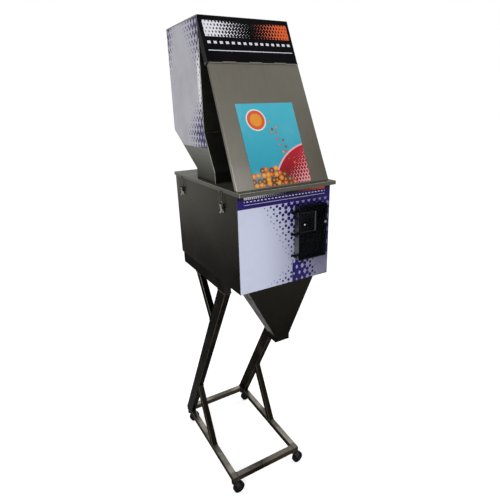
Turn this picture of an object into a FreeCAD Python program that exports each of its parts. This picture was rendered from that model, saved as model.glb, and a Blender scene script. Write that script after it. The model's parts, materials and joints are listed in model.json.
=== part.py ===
"""Granule filling machine on a wheeled stand.

A tall hopper feeds a vibrating tray inside a sheet-steel cabinet. The tray fills
a weigh bucket, and the bucket drops each portion through a flat chute into a bag.

Millimetres. +X is the operator's right, -Y is the front, +Z is up. The model is
built with y = 0 in the middle of the cabinet, and is moved at the end so that the
origin lies on the floor below the middle of the machine's bounding box.
"""
import FreeCAD
import Part

import math
import os

# Sheet metal and general clearances
sheet = 1.5
seat_gap = 0.3
fit_gap = 0.05
fold_round = 2.0
weld_lap = 1.0

# Stand: foot frame, leaning legs, braces and the rails that carry the cabinet
stand_width = 328.0
tube_size = 25.0
tube_wall = 1.5
tube_round = 2.5
leg_depth = 50.0
rail_height = 50.0
foot_front = -109.0
foot_rear = 406.0
foot_height = 73.0
leg_top_front = -122.0
lower_brace_foot = 92.0
lower_brace_lean = 0.49
upper_brace_head = 100.0
upper_brace_lean = 0.60
cross_bar_rear = 212.0
cross_bar_front = -48.0
plug_depth = 14.0

# Casters
wheel_radius = 25.0
wheel_width = 18.0
wheel_round = 3.0
hub_radius = 8.0
hub_recess = 3.0
rim_width = 6.0
axle_radius = 3.0
caster_trail = 18.0
caster_turn = 95.0
fork_sheet = 2.5
crown_thickness = 6.4
crown_reach = 14.0
arm_front_inset = 4.0
arm_rear_inset = 1.0
fork_eye_radius = 7.0
wheel_side_gap = 1.0
axle_head_radius = 5.0
axle_head_height = 2.5
kingpin_radius = 4.0
stem_radius = 5.0
stem_length = 22.0
collar_radius = 12.0
collar_height = 6.0
rivet_radius = 7.0
rivet_height = 3.0

# Cabinet
cabinet_width = 340.0
cabinet_depth = 500.0
cabinet_bottom = 993.0
cabinet_height = 322.0
panel_flange = 12.0
lid_side_overhang = 4.0
lid_front_overhang = 24.0
lid_back_overhang = 5.0
lid_edge = 12.0
vent_count = 6
vent_length = 110.0
vent_height = 5.0
vent_pitch = 14.0
vent_top_drop = 50.0
cable_hole_radius = 9.0

# Hopper
hopper_width = 318.0
hopper_front = -20.0
hopper_back = 250.0
hopper_top = 1800.0
hopper_bend = 1468.0
neck_top = 1348.0
neck_front = -85.0
neck_back = 59.0
neck_below_lid = 13.5
lid_barrel_radius = 2.8
lid_pin_radius = 1.4
lid_barrel_drop = 0.2
lid_hinge_offset = 100.0
knuckle_length = 30.0
side_knuckle_length = 14.0
hinge_web_drop = 8.0
hinge_web_step = 1.0
finger_notch_radius = 14.0
rim_fold = 12.0

# Sloping front: header above, hinged cover below
slope_foot = -246.0
header_drop = 130.0
header_flange = 25.0
header_sheet = 2.0
cover_side_inset = 3.0
cover_flange = 12.0
cover_barrel_radius = 3.0
cover_pin_radius = 1.5
cover_knuckles = 7
picture_width = 203.0
picture_height = 256.0
picture_offset = -4.5
picture_foot_gap = 4.0
picture_sheet = 1.0

# Flow gate on the neck
gate_width = 200.0
gate_drop = 20.0
gate_travel = 20.0
gate_stud_radius = 3.0
gate_stud_offset = 70.0
gate_stud_length = 12.0
gate_stud_gap = 1.0
gate_fold = 12.0
gate_side_gap = 1.0
gate_top_drop = 4.0

# Vibrating feeder
tray_side_gap = 5.5
tray_wall_height = 40.0
tray_neck_overlap = 2.0
tray_back_gap = 6.0
tray_taper_start = -92.0
tray_mouth_y = -160.0
tray_mouth_width = 112.0
tray_throw = 0.5
tray_bracket_width = 90.0
tray_bracket_length = 170.0
tray_bracket_depth = 24.0
spring_width = 70.0
spring_thickness = 3.0
spring_length = 112.0
spring_lean = 20.0
spring_front = -62.0
spring_pitch = 130.0
spring_slot_depth = 14.0
base_width = 150.0
base_plate = 12.0
base_foot_radius = 12.0
base_foot_inset = 4.0
base_round = 8.0
base_margin = 10.0
magnet_length = 62.0
magnet_width = 60.0
magnet_gap = 4.0
magnet_round = 6.0
clamp_length = 30.0
clamp_height = 26.0
clamp_side = 8.0
clamp_bolt_radius = 5.0
clamp_bolt_head = 4.0
clamp_bolt_offset = 22.0

# Weigh bucket, its flap and its load cell
bucket_width = 120.0
bucket_back = -132.0
bucket_depth = 96.0
bucket_drop = 36.0
bucket_height = 115.0
bucket_straight = 65.0
bucket_mouth = 60.0
flap_barrel_radius = 3.0
flap_pin_radius = 1.5
flap_lip = 4.0
flap_lug_height = 8.0
flap_lug_gap = 1.0
load_cell_size = 25.0
load_cell_drop = 48.0
cell_bracket_height = 70.0
cell_bracket_width = 60.0
cell_bracket_sheet = 6.0
hanger_sheet = 6.0
hanger_margin = 8.0
cell_window_length = 34.0
cell_hole_radius = 7.5
cell_slit = 3.0

# Discharge chute
chute_set_back = 23.0
chute_top_width = 270.0
chute_top_depth = 100.0
chute_mouth_width = 56.0
chute_mouth_depth = 55.0
chute_bottom = 765.0
chute_collar = 20.0
chute_flange = 12.0

# Control box on the front panel
box_left = 31.0
box_width = 109.0
box_bottom = 1073.0
box_height = 175.0
box_depth = 24.0
door_sheet = 3.0
door_barrel_radius = 2.6
door_pin_radius = 1.3
door_axis_gap = 3.0
door_knuckle = 8.0
hinge_leaf_length = 10.0
hinge_leaf_sheet = 2.0
hinge_end_gap = 8.0
knob_radius = 4.5
knob_length = 7.0
knob_shaft_radius = 2.2
knob_neck_radius = 2.8
knob_neck_length = 3.0
knob_nut_radius = 4.0
knob_nut_height = 2.0
knob_round = 1.2
knob_edge_gap = 11.0
knob_height = 117.0
plate_sheet = 2.0
plate_depth = 12.0
plate_post_radius = 4.0
plate_post_inset = 8.0
display_left = 8.0
display_width = 73.0
display_bottom = 82.0
display_height = 74.0
display_rim = 4.0
display_proud = 3.0
key_radius = 5.0
key_round = 0.8
key_pressed = 2.5
key_travel = 1.5
key_flange = 1.5
key_flange_sheet = 1.2
key_first = 20.0
key_pitch = 22.0
key_height = 58.0
rocker_width = 12.0
rocker_height = 20.0
rocker_depth = 8.0
rocker_dip = 1.5
rocker_skirt = 0.5
rocker_swing = 16.0
rocker_left = 84.0
rocker_level = 26.0
rocker_gap = 0.6
rocker_pin_depth = 1.6
rocker_pin_radius = 1.5
rocker_pin_reach = 2.0
rocker_set_back = 1.0

# Draw latches between the lid and the side panels
latch_front = -155.0
latch_rear = 178.0
latch_width = 16.0
latch_base_height = 34.0
latch_base_above = 4.0
latch_base_round = 2.0
latch_pivot_drop = 53.0
latch_pivot_out = 5.5
latch_pin_radius = 1.5
latch_barrel_radius = 3.0
latch_ear_height = 12.0
lever_width = 11.0
lever_sheet = 1.6
lever_length = 20.0
lever_curl = 5.5
lever_bend = 1.0
lever_tip = 1.1
loop_throw = 9.0
loop_wire = 1.1
loop_half_width = 9.5
loop_eye_radius = 2.2
loop_eye_sink = 0.5
keeper_reach = 6.0
keeper_width = 12.0

# Power inlet on the back panel
inlet_width = 48.0
inlet_height = 28.0
inlet_depth = 22.0
inlet_flange = 4.0
inlet_flange_sheet = 2.0
inlet_inset = 60.0
inlet_round = 3.0
inlet_rise = 45.0
socket_width = 26.0
socket_height = 18.0
socket_depth = 15.0
blade_width = 2.0
blade_height = 4.0
blade_pitch = 7.0
blade_rise = 3.0
blade_drop = 2.0
blade_recess = 4.0
blade_root = 1.0

# Levels and places that follow from the sizes above
foot_top = foot_height + tube_size
rail_bottom = cabinet_bottom - rail_height
lid_top = cabinet_bottom + cabinet_height
lid_bottom = lid_top - sheet
panel_y = cabinet_depth / 2
panel_x = cabinet_width / 2
cover_foot_width = cabinet_width - 2 * cover_side_inset
inlet_x = -panel_x + inlet_inset
neck_bottom = lid_top - sheet - neck_below_lid
tray_top = neck_bottom + tray_neck_overlap
tray_floor = tray_top - tray_wall_height
slope_length = math.hypot(slope_foot - hopper_front, hopper_top - lid_top)
slope_y = (slope_foot - hopper_front) / slope_length
slope_z = (lid_top - hopper_top) / slope_length
header_length = header_drop / -slope_z
cover_axis = header_length + cover_barrel_radius + seat_gap
cover_start = cover_axis + cover_barrel_radius + seat_gap
bucket_top = tray_floor - bucket_drop
bucket_bottom = bucket_top - bucket_height
bucket_middle = bucket_back - bucket_depth / 2
bucket_mouth_back = bucket_middle + bucket_mouth / 2
flap_axis_y = bucket_mouth_back + flap_barrel_radius + seat_gap
flap_axis_z = bucket_bottom - flap_barrel_radius + flap_pin_radius
box_front = -panel_y - box_depth
door_back = box_front - seat_gap
door_axis_x = box_left - door_axis_gap
door_axis_y = door_back + door_barrel_radius
latch_pivot_x = panel_x + latch_pivot_out
latch_pivot_z = lid_top - latch_pivot_drop
loop_pivot_z = latch_pivot_z - loop_throw
keeper_top = lid_top - lid_edge + sheet
rocker_axis_y = -panel_y - plate_depth + plate_sheet + rocker_set_back
key_proud = key_pressed + key_travel

x_axis = FreeCAD.Vector(1, 0, 0)
y_axis = FreeCAD.Vector(0, 1, 0)
z_axis = FreeCAD.Vector(0, 0, 1)


def box(x0, x1, y0, y1, z0, z1):
    """Solid box between two corners."""
    corner = FreeCAD.Vector(min(x0, x1), min(y0, y1), min(z0, z1))
    return Part.makeBox(abs(x1 - x0), abs(y1 - y0), abs(z1 - z0), corner)


def rod_x(radius, x0, x1, y, z):
    """Round bar along X."""
    return Part.makeCylinder(radius, x1 - x0, FreeCAD.Vector(x0, y, z), x_axis)


def rod_y(radius, x, y0, y1, z):
    """Round bar along Y."""
    return Part.makeCylinder(radius, y1 - y0, FreeCAD.Vector(x, y0, z), y_axis)


def rod_z(radius, x, y, z0, z1):
    """Round bar along Z."""
    return Part.makeCylinder(radius, z1 - z0, FreeCAD.Vector(x, y, z0), z_axis)


def rounded(shape, radius, chosen):
    """The shape with those edges rounded that a test chooses."""
    return shape.makeFillet(radius, [edge for edge in shape.Edges if chosen(edge)])


def along(run):
    """Test that chooses the straight edges along one direction."""
    def chosen(edge):
        return edge.Curve.TypeId == "Part::GeomLine" and edge.Curve.Direction.cross(run).Length < 1e-6
    return chosen


def outline(points):
    """Flat face inside a closed outline."""
    return Part.Face(Part.makePolygon(points + [points[0]]))


def prism_x(yz_points, x0, x1):
    """Side profile in the YZ plane, drawn out along X."""
    face = outline([FreeCAD.Vector(x0, y, z) for y, z in yz_points])
    return face.extrude(FreeCAD.Vector(x1 - x0, 0, 0))


def prism_z(xy_points, z0, z1):
    """Plan in the XY plane, drawn out along Z."""
    face = outline([FreeCAD.Vector(x, y, z0) for x, y in xy_points])
    return face.extrude(FreeCAD.Vector(0, 0, z1 - z0))


def frustum(low, z0, high, z1):
    """Straight-sided transition between two level rectangles (x0, x1, y0, y1)."""
    wires = []
    for (x0, x1, y0, y1), z in ((low, z0), (high, z1)):
        corners = [(x0, y0), (x1, y0), (x1, y1), (x0, y1), (x0, y0)]
        wires.append(Part.makePolygon([FreeCAD.Vector(x, y, z) for x, y in corners]))
    return Part.makeLoft(wires, True, True)


def mirrored(shape):
    """The same piece on the other side of the machine."""
    return shape.mirror(FreeCAD.Vector(0, 0, 0), x_axis)


def on_slope(shape):
    """Move a piece drawn with X across, Y down the slope and Z inwards onto the slope."""
    down = FreeCAD.Vector(0, slope_y, slope_z)
    turn = FreeCAD.Rotation(x_axis, down, x_axis.cross(down), "XYZ")
    place = FreeCAD.Placement(FreeCAD.Vector(0, hopper_front, hopper_top), turn)
    moved = shape.copy()
    moved.Placement = place.multiply(moved.Placement)
    return moved


def line_crossing(y_a, lean_a, y_b, lean_b):
    """Height above z = 0 where two lines y = y0 + lean * z meet."""
    return (y_b - y_a) / (lean_a - lean_b)


def leg_lean():
    """Sideways run of a leg for each millimetre of height."""
    run = leg_run()
    return (leg_top_front - (foot_rear - run)) / (rail_bottom - foot_top)


def leg_run():
    """Level width of a leaning leg, which is wider than the tube itself."""
    height = rail_bottom - foot_top
    span = foot_rear - leg_top_front
    run = leg_depth
    for _ in range(20):
        run = leg_depth * math.hypot(height, span - run) / height
    return run


def level_tube(x0, x1, y0, y1, z0, z1, run, cap=0.0):
    """Tube along X or Y with rounded corners; cap is the thickness of its closed ends."""
    dx, dy = (cap, tube_wall) if run == x_axis else (tube_wall, cap)
    outer = box(x0, x1, y0, y1, z0, z1)
    inner = box(x0 + dx, x1 - dx, y0 + dy, y1 - dy, z0 + tube_wall, z1 - tube_wall)
    return rounded(outer, tube_round, along(run)).cut(rounded(inner, tube_round - tube_wall, along(run)))


def leaning_tube(profile, x0, inner_profile):
    """Tube with mitred ends from its side profiles, whose first side runs along the tube."""
    (y0, z0), (y1, z1) = profile[:2]
    run = FreeCAD.Vector(0, y1 - y0, z1 - z0).normalize()
    outer = prism_x(profile, x0, x0 + tube_size)
    inner = prism_x(inner_profile, x0 + tube_wall, x0 + tube_size - tube_wall)
    return rounded(outer, tube_round, along(run)).cut(rounded(inner, tube_round - tube_wall, along(run)))


def side_x(side):
    """Inner X of the 25 mm wide strip that every stand tube on one side shares."""
    return -stand_width / 2 if side == "left" else stand_width / 2 - tube_size


def foot_rail(side):
    """Foot rail that runs front to back, with a hole for each caster stem."""
    x0 = side_x(side)
    middle = x0 + tube_size / 2
    rail = level_tube(x0, x0 + tube_size, foot_front, foot_rear, foot_height, foot_top, y_axis, tube_wall)
    for y in caster_rows():
        rail = rail.cut(rod_z(stem_radius + fit_gap, middle, y, foot_height, foot_height + tube_wall))
    return rail


def caster_rows():
    """Front and rear caster positions, in the middle of the cross bars."""
    return (foot_front + tube_size / 2, foot_rear - tube_size / 2)


def foot_bar(y_middle):
    """Cross bar between the foot rails."""
    half = stand_width / 2 - tube_size
    y0 = y_middle - tube_size / 2
    return level_tube(-half, half, y0, y0 + tube_size, foot_height, foot_top, x_axis)


def leg(side):
    """Leg that leans forward from the rear of a foot rail to the front of a top rail."""
    run = leg_run()
    skin = tube_wall * run / leg_depth
    rear = [(foot_rear, foot_top), (leg_top_front + run, rail_bottom)]
    front = [(leg_top_front, rail_bottom), (foot_rear - run, foot_top)]
    inner = [(y - skin, z) for y, z in rear] + [(y + skin, z) for y, z in front]
    return leaning_tube(rear + front, side_x(side), inner)


def brace_profile(start, lean, z_end, cut_y, cut_lean, inset):
    """Side profile of a brace: level at z_end, cut along a leg face at the other end."""
    run = tube_size * math.hypot(1, lean)
    skin = inset * math.hypot(1, lean)
    points = []
    for y_level in (start + skin, start + run - skin):
        y_zero = y_level - lean * z_end
        z = line_crossing(y_zero, lean, cut_y, cut_lean)
        points.append(((y_level, z_end), (y_zero + lean * z, z)))
    return [points[0][1], points[0][0], points[1][0], points[1][1]]


def lower_brace(side):
    """Short brace from the foot rail back to the leg."""
    face = foot_rear - leg_run() - leg_lean() * foot_top
    profiles = [brace_profile(lower_brace_foot, lower_brace_lean, foot_top, face, leg_lean(), inset)
                for inset in (0.0, tube_wall)]
    return leaning_tube(profiles[0], side_x(side), profiles[1])


def upper_brace(side):
    """Short brace from the top rail forward to the leg."""
    face = foot_rear - leg_lean() * foot_top
    profiles = [brace_profile(upper_brace_head, upper_brace_lean, rail_bottom, face, leg_lean(), inset)
                for inset in (0.0, tube_wall)]
    return leaning_tube(profiles[0], side_x(side), profiles[1])


def top_rail(side):
    """Rail under one side of the cabinet, plugged at both open ends."""
    x0 = side_x(side)
    return level_tube(x0, x0 + tube_size, leg_top_front, panel_y, rail_bottom, cabinet_bottom, y_axis)


def rail_plugs():
    """Plastic plugs pushed into the four ends of the top rails."""
    plugs = []
    for side in ("left", "right"):
        x0 = side_x(side) + tube_wall
        x1 = side_x(side) + tube_size - tube_wall
        z0 = rail_bottom + tube_wall
        z1 = cabinet_bottom - tube_wall
        plugs.append(box(x0, x1, leg_top_front, leg_top_front + plug_depth, z0, z1))
        plugs.append(box(x0, x1, panel_y - plug_depth, panel_y, z0, z1))
    return Part.makeCompound([rounded(plug, tube_round, along(y_axis)) for plug in plugs])


def top_cross_bars():
    """Two bars that tie the top rails together under the cabinet floor."""
    half = stand_width / 2 - tube_size
    bars = []
    for y in (cross_bar_front, cross_bar_rear):
        y0 = y - tube_size / 2
        bars.append(level_tube(-half, half, y0, y0 + tube_size, rail_bottom, cabinet_bottom, x_axis))
    return Part.makeCompound(bars)


def caster_spots():
    """Stem positions, named by the corner of the machine."""
    x = stand_width / 2 - tube_size / 2
    front, rear = caster_rows()
    return {"front_left": (-x, front), "front_right": (x, front),
            "rear_left": (-x, rear), "rear_right": (x, rear)}


def caster_stem(x, y):
    """Threaded stem with its collar, kingpin and rivet head, fixed to the foot rail."""
    collar_bottom = foot_height - collar_height
    crown_bottom = collar_bottom - seat_gap - crown_thickness
    head_top = crown_bottom - seat_gap
    stem = rod_z(stem_radius, x, y, foot_height, foot_height + stem_length)
    collar = rod_z(collar_radius, x, y, collar_bottom, foot_height)
    kingpin = rod_z(kingpin_radius, x, y, head_top, collar_bottom)
    head = rod_z(rivet_radius, x, y, head_top - rivet_height, head_top)
    return stem.fuse([collar, kingpin, head]).removeSplitter()


def caster_fork(x, y):
    """Swivel fork with its axle, trailing to local +X before it is turned into place."""
    crown_top = foot_height - collar_height - seat_gap
    crown_bottom = crown_top - crown_thickness
    inside = wheel_width / 2 + wheel_side_gap
    outside = inside + fork_sheet
    crown = rod_z(crown_reach, 0, 0, crown_bottom, crown_top)
    crown = crown.common(box(-crown_reach, crown_reach, -outside, outside, crown_bottom, crown_top))
    arm = outline([FreeCAD.Vector(-crown_reach + arm_front_inset, inside, crown_top),
                   FreeCAD.Vector(crown_reach - arm_rear_inset, inside, crown_top),
                   FreeCAD.Vector(caster_trail + fork_eye_radius, inside, wheel_radius),
                   FreeCAD.Vector(caster_trail - fork_eye_radius, inside, wheel_radius)])
    arm = arm.extrude(FreeCAD.Vector(0, fork_sheet, 0))
    arm = arm.fuse(rod_y(fork_eye_radius, caster_trail, inside, outside, wheel_radius))
    other = arm.mirror(FreeCAD.Vector(0, 0, 0), y_axis)
    axle = rod_y(axle_radius, caster_trail, -outside, outside, wheel_radius)
    head_end = outside + axle_head_height
    heads = [rod_y(axle_head_radius, caster_trail, outside, head_end, wheel_radius),
             rod_y(axle_head_radius, caster_trail, -head_end, -outside, wheel_radius)]
    fork = crown.fuse([arm, other, axle] + heads).removeSplitter()
    fork = fork.cut(rod_z(kingpin_radius + fit_gap, 0, 0, crown_bottom, crown_top))
    return turned_caster(fork, x, y)


def caster_wheel(x, y):
    """Solid wheel with a rounded tread and a raised hub."""
    wheel = rod_y(wheel_radius, 0, -wheel_width / 2, wheel_width / 2, 0)
    wheel = rounded(wheel, wheel_round, lambda edge: edge.Curve.TypeId == "Part::GeomCircle")
    outer = wheel_radius - rim_width
    half = wheel_width / 2
    for y0, y1 in ((half - hub_recess, half), (-half, -half + hub_recess)):
        ring = rod_y(outer, 0, y0, y1, 0).cut(rod_y(hub_radius, 0, y0, y1, 0))
        wheel = wheel.cut(ring)
    wheel = wheel.cut(rod_y(axle_radius + fit_gap, 0, -wheel_width, wheel_width, 0))
    wheel.translate(FreeCAD.Vector(caster_trail, 0, wheel_radius))
    return turned_caster(wheel, x, y)


def turned_caster(shape, x, y):
    """Turn a caster piece so that it trails forwards and slightly to the right."""
    shape.rotate(FreeCAD.Vector(0, 0, 0), z_axis, caster_turn - 90)
    shape.translate(FreeCAD.Vector(x, y, 0))
    return shape


def side_panel():
    """Left side panel of the cabinet, folded inwards at the front and the back."""
    y0 = -panel_y + sheet
    y1 = panel_y - sheet
    outer = box(-panel_x, -panel_x + panel_flange, y0, y1, cabinet_bottom, lid_bottom)
    inner = box(-panel_x + sheet, -panel_x + panel_flange, y0 + sheet, y1 - sheet,
                cabinet_bottom, lid_bottom)
    outer_x = -panel_x + sheet
    folds = rounded(outer, fold_round, lambda edge: along(z_axis)(edge) and edge.BoundBox.XMax < outer_x)
    return folds.cut(inner)


def front_panel():
    """Front panel of the cabinet with the cable hole behind the control box."""
    panel = box(-panel_x, panel_x, -panel_y, -panel_y + sheet, cabinet_bottom, lid_bottom)
    hole_x = box_left + box_width / 2
    hole_z = box_bottom + box_height / 4
    return panel.cut(rod_y(cable_hole_radius, hole_x, -panel_y, -panel_y + sheet, hole_z))


def back_panel():
    """Back panel with a row of ventilation slots and the cut-out for the power inlet."""
    panel = box(-panel_x, panel_x, panel_y - sheet, panel_y, cabinet_bottom, lid_bottom)
    for index in range(vent_count):
        z = lid_bottom - vent_top_drop - index * vent_pitch
        panel = panel.cut(vent_slot(z))
    z0 = cabinet_bottom + inlet_rise
    return panel.cut(box(inlet_x - inlet_width / 2, inlet_x + inlet_width / 2, panel_y - sheet, panel_y,
                         z0, z0 + inlet_height))


def vent_slot(z):
    """One slot with round ends, centred on the back panel."""
    reach = vent_length / 2 - vent_height / 2
    slot = box(-reach, reach, panel_y - sheet, panel_y, z - vent_height / 2, z + vent_height / 2)
    ends = [rod_y(vent_height / 2, x, panel_y - sheet, panel_y, z) for x in (-reach, reach)]
    return slot.fuse(ends)


def chute_rectangle(width, depth):
    """Level outline of the chute, flush with its upright front plate."""
    front = -panel_y + chute_set_back
    return (-width / 2, width / 2, front, front + depth)


def shrunk(rectangle, wall):
    """The same rectangle drawn in by a wall on every side."""
    x0, x1, y0, y1 = rectangle
    return (x0 + wall, x1 - wall, y0 + wall, y1 - wall)


def cabinet_floor():
    """Floor of the cabinet with the opening above the chute."""
    inside_x = panel_x - sheet
    inside_y = panel_y - sheet
    floor = box(-inside_x, inside_x, -inside_y, inside_y, cabinet_bottom, cabinet_bottom + sheet)
    corners = [box(sx * inside_x, sx * (panel_x - panel_flange), sy * inside_y, sy * (inside_y - sheet),
                   cabinet_bottom, cabinet_bottom + sheet) for sx in (-1, 1) for sy in (-1, 1)]
    floor = floor.cut(Part.makeCompound(corners))
    x0, x1, y0, y1 = shrunk(chute_rectangle(chute_top_width, chute_top_depth), sheet)
    return floor.cut(box(x0, x1, y0, y1, cabinet_bottom, cabinet_bottom + sheet))


def cabinet_lid():
    """Overhanging lid with turned-down edges, a hole for the neck and four latch keepers."""
    x = panel_x + lid_side_overhang
    y0 = -panel_y - lid_front_overhang
    y1 = panel_y + lid_back_overhang
    lid = box(-x, x, y0, y1, lid_top - lid_edge, lid_top)
    lid = rounded(lid, fold_round, lambda edge: edge.BoundBox.ZMax > lid_bottom)
    lid = lid.cut(box(-x + sheet, x - sheet, y0 + sheet, y1 - sheet, lid_top - lid_edge, lid_bottom))
    half = hopper_width / 2 + seat_gap
    opening = box(-half, half, neck_front - seat_gap, neck_back + seat_gap, lid_bottom, lid_top)
    gate_half = gate_width / 2 + gate_side_gap
    gate_slot = box(-gate_half, gate_half, neck_front - sheet - 2 * seat_gap, neck_front,
                    lid_bottom, lid_top)
    lid = lid.cut(opening).cut(gate_slot)
    keepers = []
    for y in (latch_front, latch_rear):
        keeper = box(-x - keeper_reach, -x, y - keeper_width / 2, y + keeper_width / 2,
                     keeper_top - sheet, keeper_top)
        keepers += [keeper, mirrored(keeper)]
    return lid.fuse(keepers).removeSplitter()


def hopper_box():
    """Straight upper part of the hopper, open at the top and at the bottom."""
    half = hopper_width / 2
    top = hopper_top - sheet
    outer = box(-half, half, hopper_front, hopper_back, hopper_bend, top)
    inner = box(-half + sheet, half - sheet, hopper_front + sheet, hopper_back - sheet, hopper_bend, top)
    shell = rounded(outer, fold_round, along(z_axis)).cut(inner)
    fold = box(-half + sheet, half - sheet, hopper_front + sheet, hopper_front + rim_fold, top - sheet, top)
    knuckles = [fixed_lid_knuckle(x) for x in (-lid_hinge_offset, lid_hinge_offset)]
    return shell.fuse([fold] + knuckles).removeSplitter()


def lid_axis():
    """Y and Z of the hopper lid's hinge pin."""
    return hopper_back + lid_barrel_radius + seat_gap, hopper_top - lid_barrel_radius - lid_barrel_drop


def barrel_with_web(x0, x1, target_y, target_z0, target_z1):
    """Hinge barrel of the hopper lid with a web to what it is welded to."""
    y, z = lid_axis()
    barrel = rod_x(lid_barrel_radius, x0, x1, y, z)
    web = box(x0, x1, target_y, y, target_z0, target_z1)
    return barrel.fuse(web)


def fixed_lid_knuckle(x):
    """Two knuckles on the hopper's back wall with the hinge pin between them."""
    y, z = lid_axis()
    inner = knuckle_length / 2 + seat_gap
    outer = inner + side_knuckle_length
    web_low = z - lid_barrel_radius - hinge_web_drop
    pieces = [barrel_with_web(x0, x1, hopper_back, web_low, z - hinge_web_step)
              for x0, x1 in ((x - outer, x - inner), (x + inner, x + outer))]
    pin = rod_x(lid_pin_radius, x - outer, x + outer, y, z)
    return pieces[0].fuse([pieces[1], pin])


def hopper_lid():
    """Flat hopper lid with two hinge knuckles and a finger notch."""
    half = hopper_width / 2
    y, z = lid_axis()
    lid = box(-half, half, hopper_front + seat_gap, hopper_back, hopper_top - sheet, hopper_top)
    lid = rounded(lid, fold_round, along(z_axis))
    notch = rod_z(finger_notch_radius, 0, hopper_front + seat_gap, hopper_top - sheet, hopper_top)
    lid = lid.cut(notch)
    for x in (-lid_hinge_offset, lid_hinge_offset):
        x0 = x - knuckle_length / 2
        x1 = x + knuckle_length / 2
        lid = lid.fuse(barrel_with_web(x0, x1, hopper_back - weld_lap, hopper_top - sheet,
                                       hopper_top - lid_barrel_drop))
        lid = lid.cut(rod_x(lid_pin_radius + fit_gap, x0, x1, y, z))
    return lid.removeSplitter()


def funnel_profile(wall):
    """Side profile of the funnel and its neck, drawn in by a wall thickness."""
    back_run = (hopper_back - neck_back) / (hopper_bend - neck_top)
    front_run = (hopper_front - neck_front) / (hopper_bend - neck_top)
    back_shift = wall * (math.hypot(1, back_run) - 1) / back_run
    front_shift = wall * (math.hypot(1, front_run) - 1) / front_run
    return [(hopper_front + wall, hopper_bend),
            (hopper_front + wall, hopper_bend - front_shift),
            (neck_front + wall, neck_top - front_shift),
            (neck_front + wall, neck_bottom),
            (neck_back - wall, neck_bottom),
            (neck_back - wall, neck_top + back_shift),
            (hopper_back - wall, hopper_bend)]


def hopper_funnel():
    """Funnel that leads forward and down to the neck, with two studs for the flow gate."""
    half = hopper_width / 2
    outer = prism_x(funnel_profile(0.0), -half, half)
    outer = rounded(outer, fold_round, lambda edge: edge.BoundBox.ZLength > seat_gap)
    inner = prism_x(funnel_profile(sheet), -half + sheet, half - sheet)
    studs = [rod_y(gate_stud_radius, x, neck_front - gate_stud_length, neck_front, gate_stud_level())
             for x in (-gate_stud_offset, gate_stud_offset)]
    return outer.cut(inner).fuse(studs)


def gate_stud_level():
    """Height of the gate studs, in the middle of the straight part of the neck."""
    return (lid_top + neck_top) / 2


def flow_gate():
    """Sliding plate in front of the neck that sets how much granule leaves it."""
    y1 = neck_front - seat_gap
    y0 = y1 - sheet
    bottom = tray_floor + sheet + gate_drop
    top = neck_top - gate_top_drop
    plate = box(-gate_width / 2, gate_width / 2, y0, y1, bottom, top)
    fold = box(-gate_width / 2, gate_width / 2, y0 - gate_fold, y0, top - sheet, top)
    plate = plate.fuse(fold)
    reach = gate_stud_radius + gate_stud_gap
    for x in (-gate_stud_offset, gate_stud_offset):
        level = gate_stud_level()
        slot = box(x - reach, x + reach, y0, y1, level - gate_travel, level)
        ends = [rod_y(reach, x, y0, y1, z) for z in (level - gate_travel, level)]
        plate = plate.cut(slot.fuse(ends))
    return plate.removeSplitter()


def header_panel():
    """Header on the upper slope, with side flanges and the fixed hinge knuckles."""
    half = hopper_width / 2
    outer = box(-half, half, 0, header_length, 0, header_flange)
    outer = rounded(outer, fold_round, lambda edge: along(y_axis)(edge) and edge.BoundBox.ZMax < sheet)
    inner = box(-half + header_sheet, half - header_sheet, 0, header_length - header_sheet,
                header_sheet, header_flange)
    low_strip = box(-half + header_sheet, half - header_sheet, header_length - header_sheet, header_length,
                    cover_flange, header_flange)
    header = outer.cut(inner).cut(low_strip)
    for index, (x0, x1) in enumerate(cover_knuckle_spans()):
        if index % 2 == 0:
            header = header.fuse(cover_knuckle(x0, x1, header_length - weld_lap, cover_axis))
    header = header.fuse(rod_x(cover_pin_radius, -half, half, cover_axis, 0))
    header = on_slope(header.removeSplitter())
    return header.cut(box(-half, half, hopper_front, hopper_back, hopper_bend, hopper_top + header_flange))


def cover_knuckle_spans():
    """X ranges of the knuckles along the cover hinge."""
    half = hopper_width / 2 - fold_round
    pitch = 2 * half / cover_knuckles
    return [(-half + index * pitch + seat_gap / 2, -half + (index + 1) * pitch - seat_gap / 2)
            for index in range(cover_knuckles)]


def cover_knuckle(x0, x1, y0, y1):
    """Hinge barrel on the slope with a leaf between y0 and y1 down the slope."""
    barrel = rod_x(cover_barrel_radius, x0, x1, cover_axis, 0)
    leaf = box(x0, x1, y0, y1, 0, sheet)
    return barrel.fuse(leaf)


def cover_tray(wall, z0, z1):
    """Tapered plan of the cover, drawn in by a wall and drawn out inwards."""
    start_half = hopper_width / 2 - wall
    end_half = cover_foot_width / 2 - wall
    end = slope_length + cover_flange
    y0 = cover_start + wall
    return prism_z([(-start_half, y0), (start_half, y0), (end_half, end), (-end_half, end)], z0, z1)


def front_cover():
    """Sloping cover with folded edges, hinged to the header and resting on the lid."""
    outer = cover_tray(0.0, 0, cover_flange)
    outer = rounded(outer, fold_round, lambda edge: edge.BoundBox.ZMax < sheet and not along(x_axis)(edge))
    cover = outer.cut(cover_tray(sheet, sheet, cover_flange))
    for index, (x0, x1) in enumerate(cover_knuckle_spans()):
        if index % 2 == 1:
            cover = cover.fuse(cover_knuckle(x0, x1, cover_axis, cover_start + sheet))
    cover = cover.cut(rod_x(cover_pin_radius + fit_gap, -hopper_width / 2, hopper_width / 2, cover_axis, 0))
    cover = on_slope(cover.removeSplitter())
    below = box(-cover_foot_width, cover_foot_width, -panel_y - lid_front_overhang, hopper_front,
                lid_top - 2 * cover_flange, lid_top + seat_gap)
    return cover.cut(below)


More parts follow.
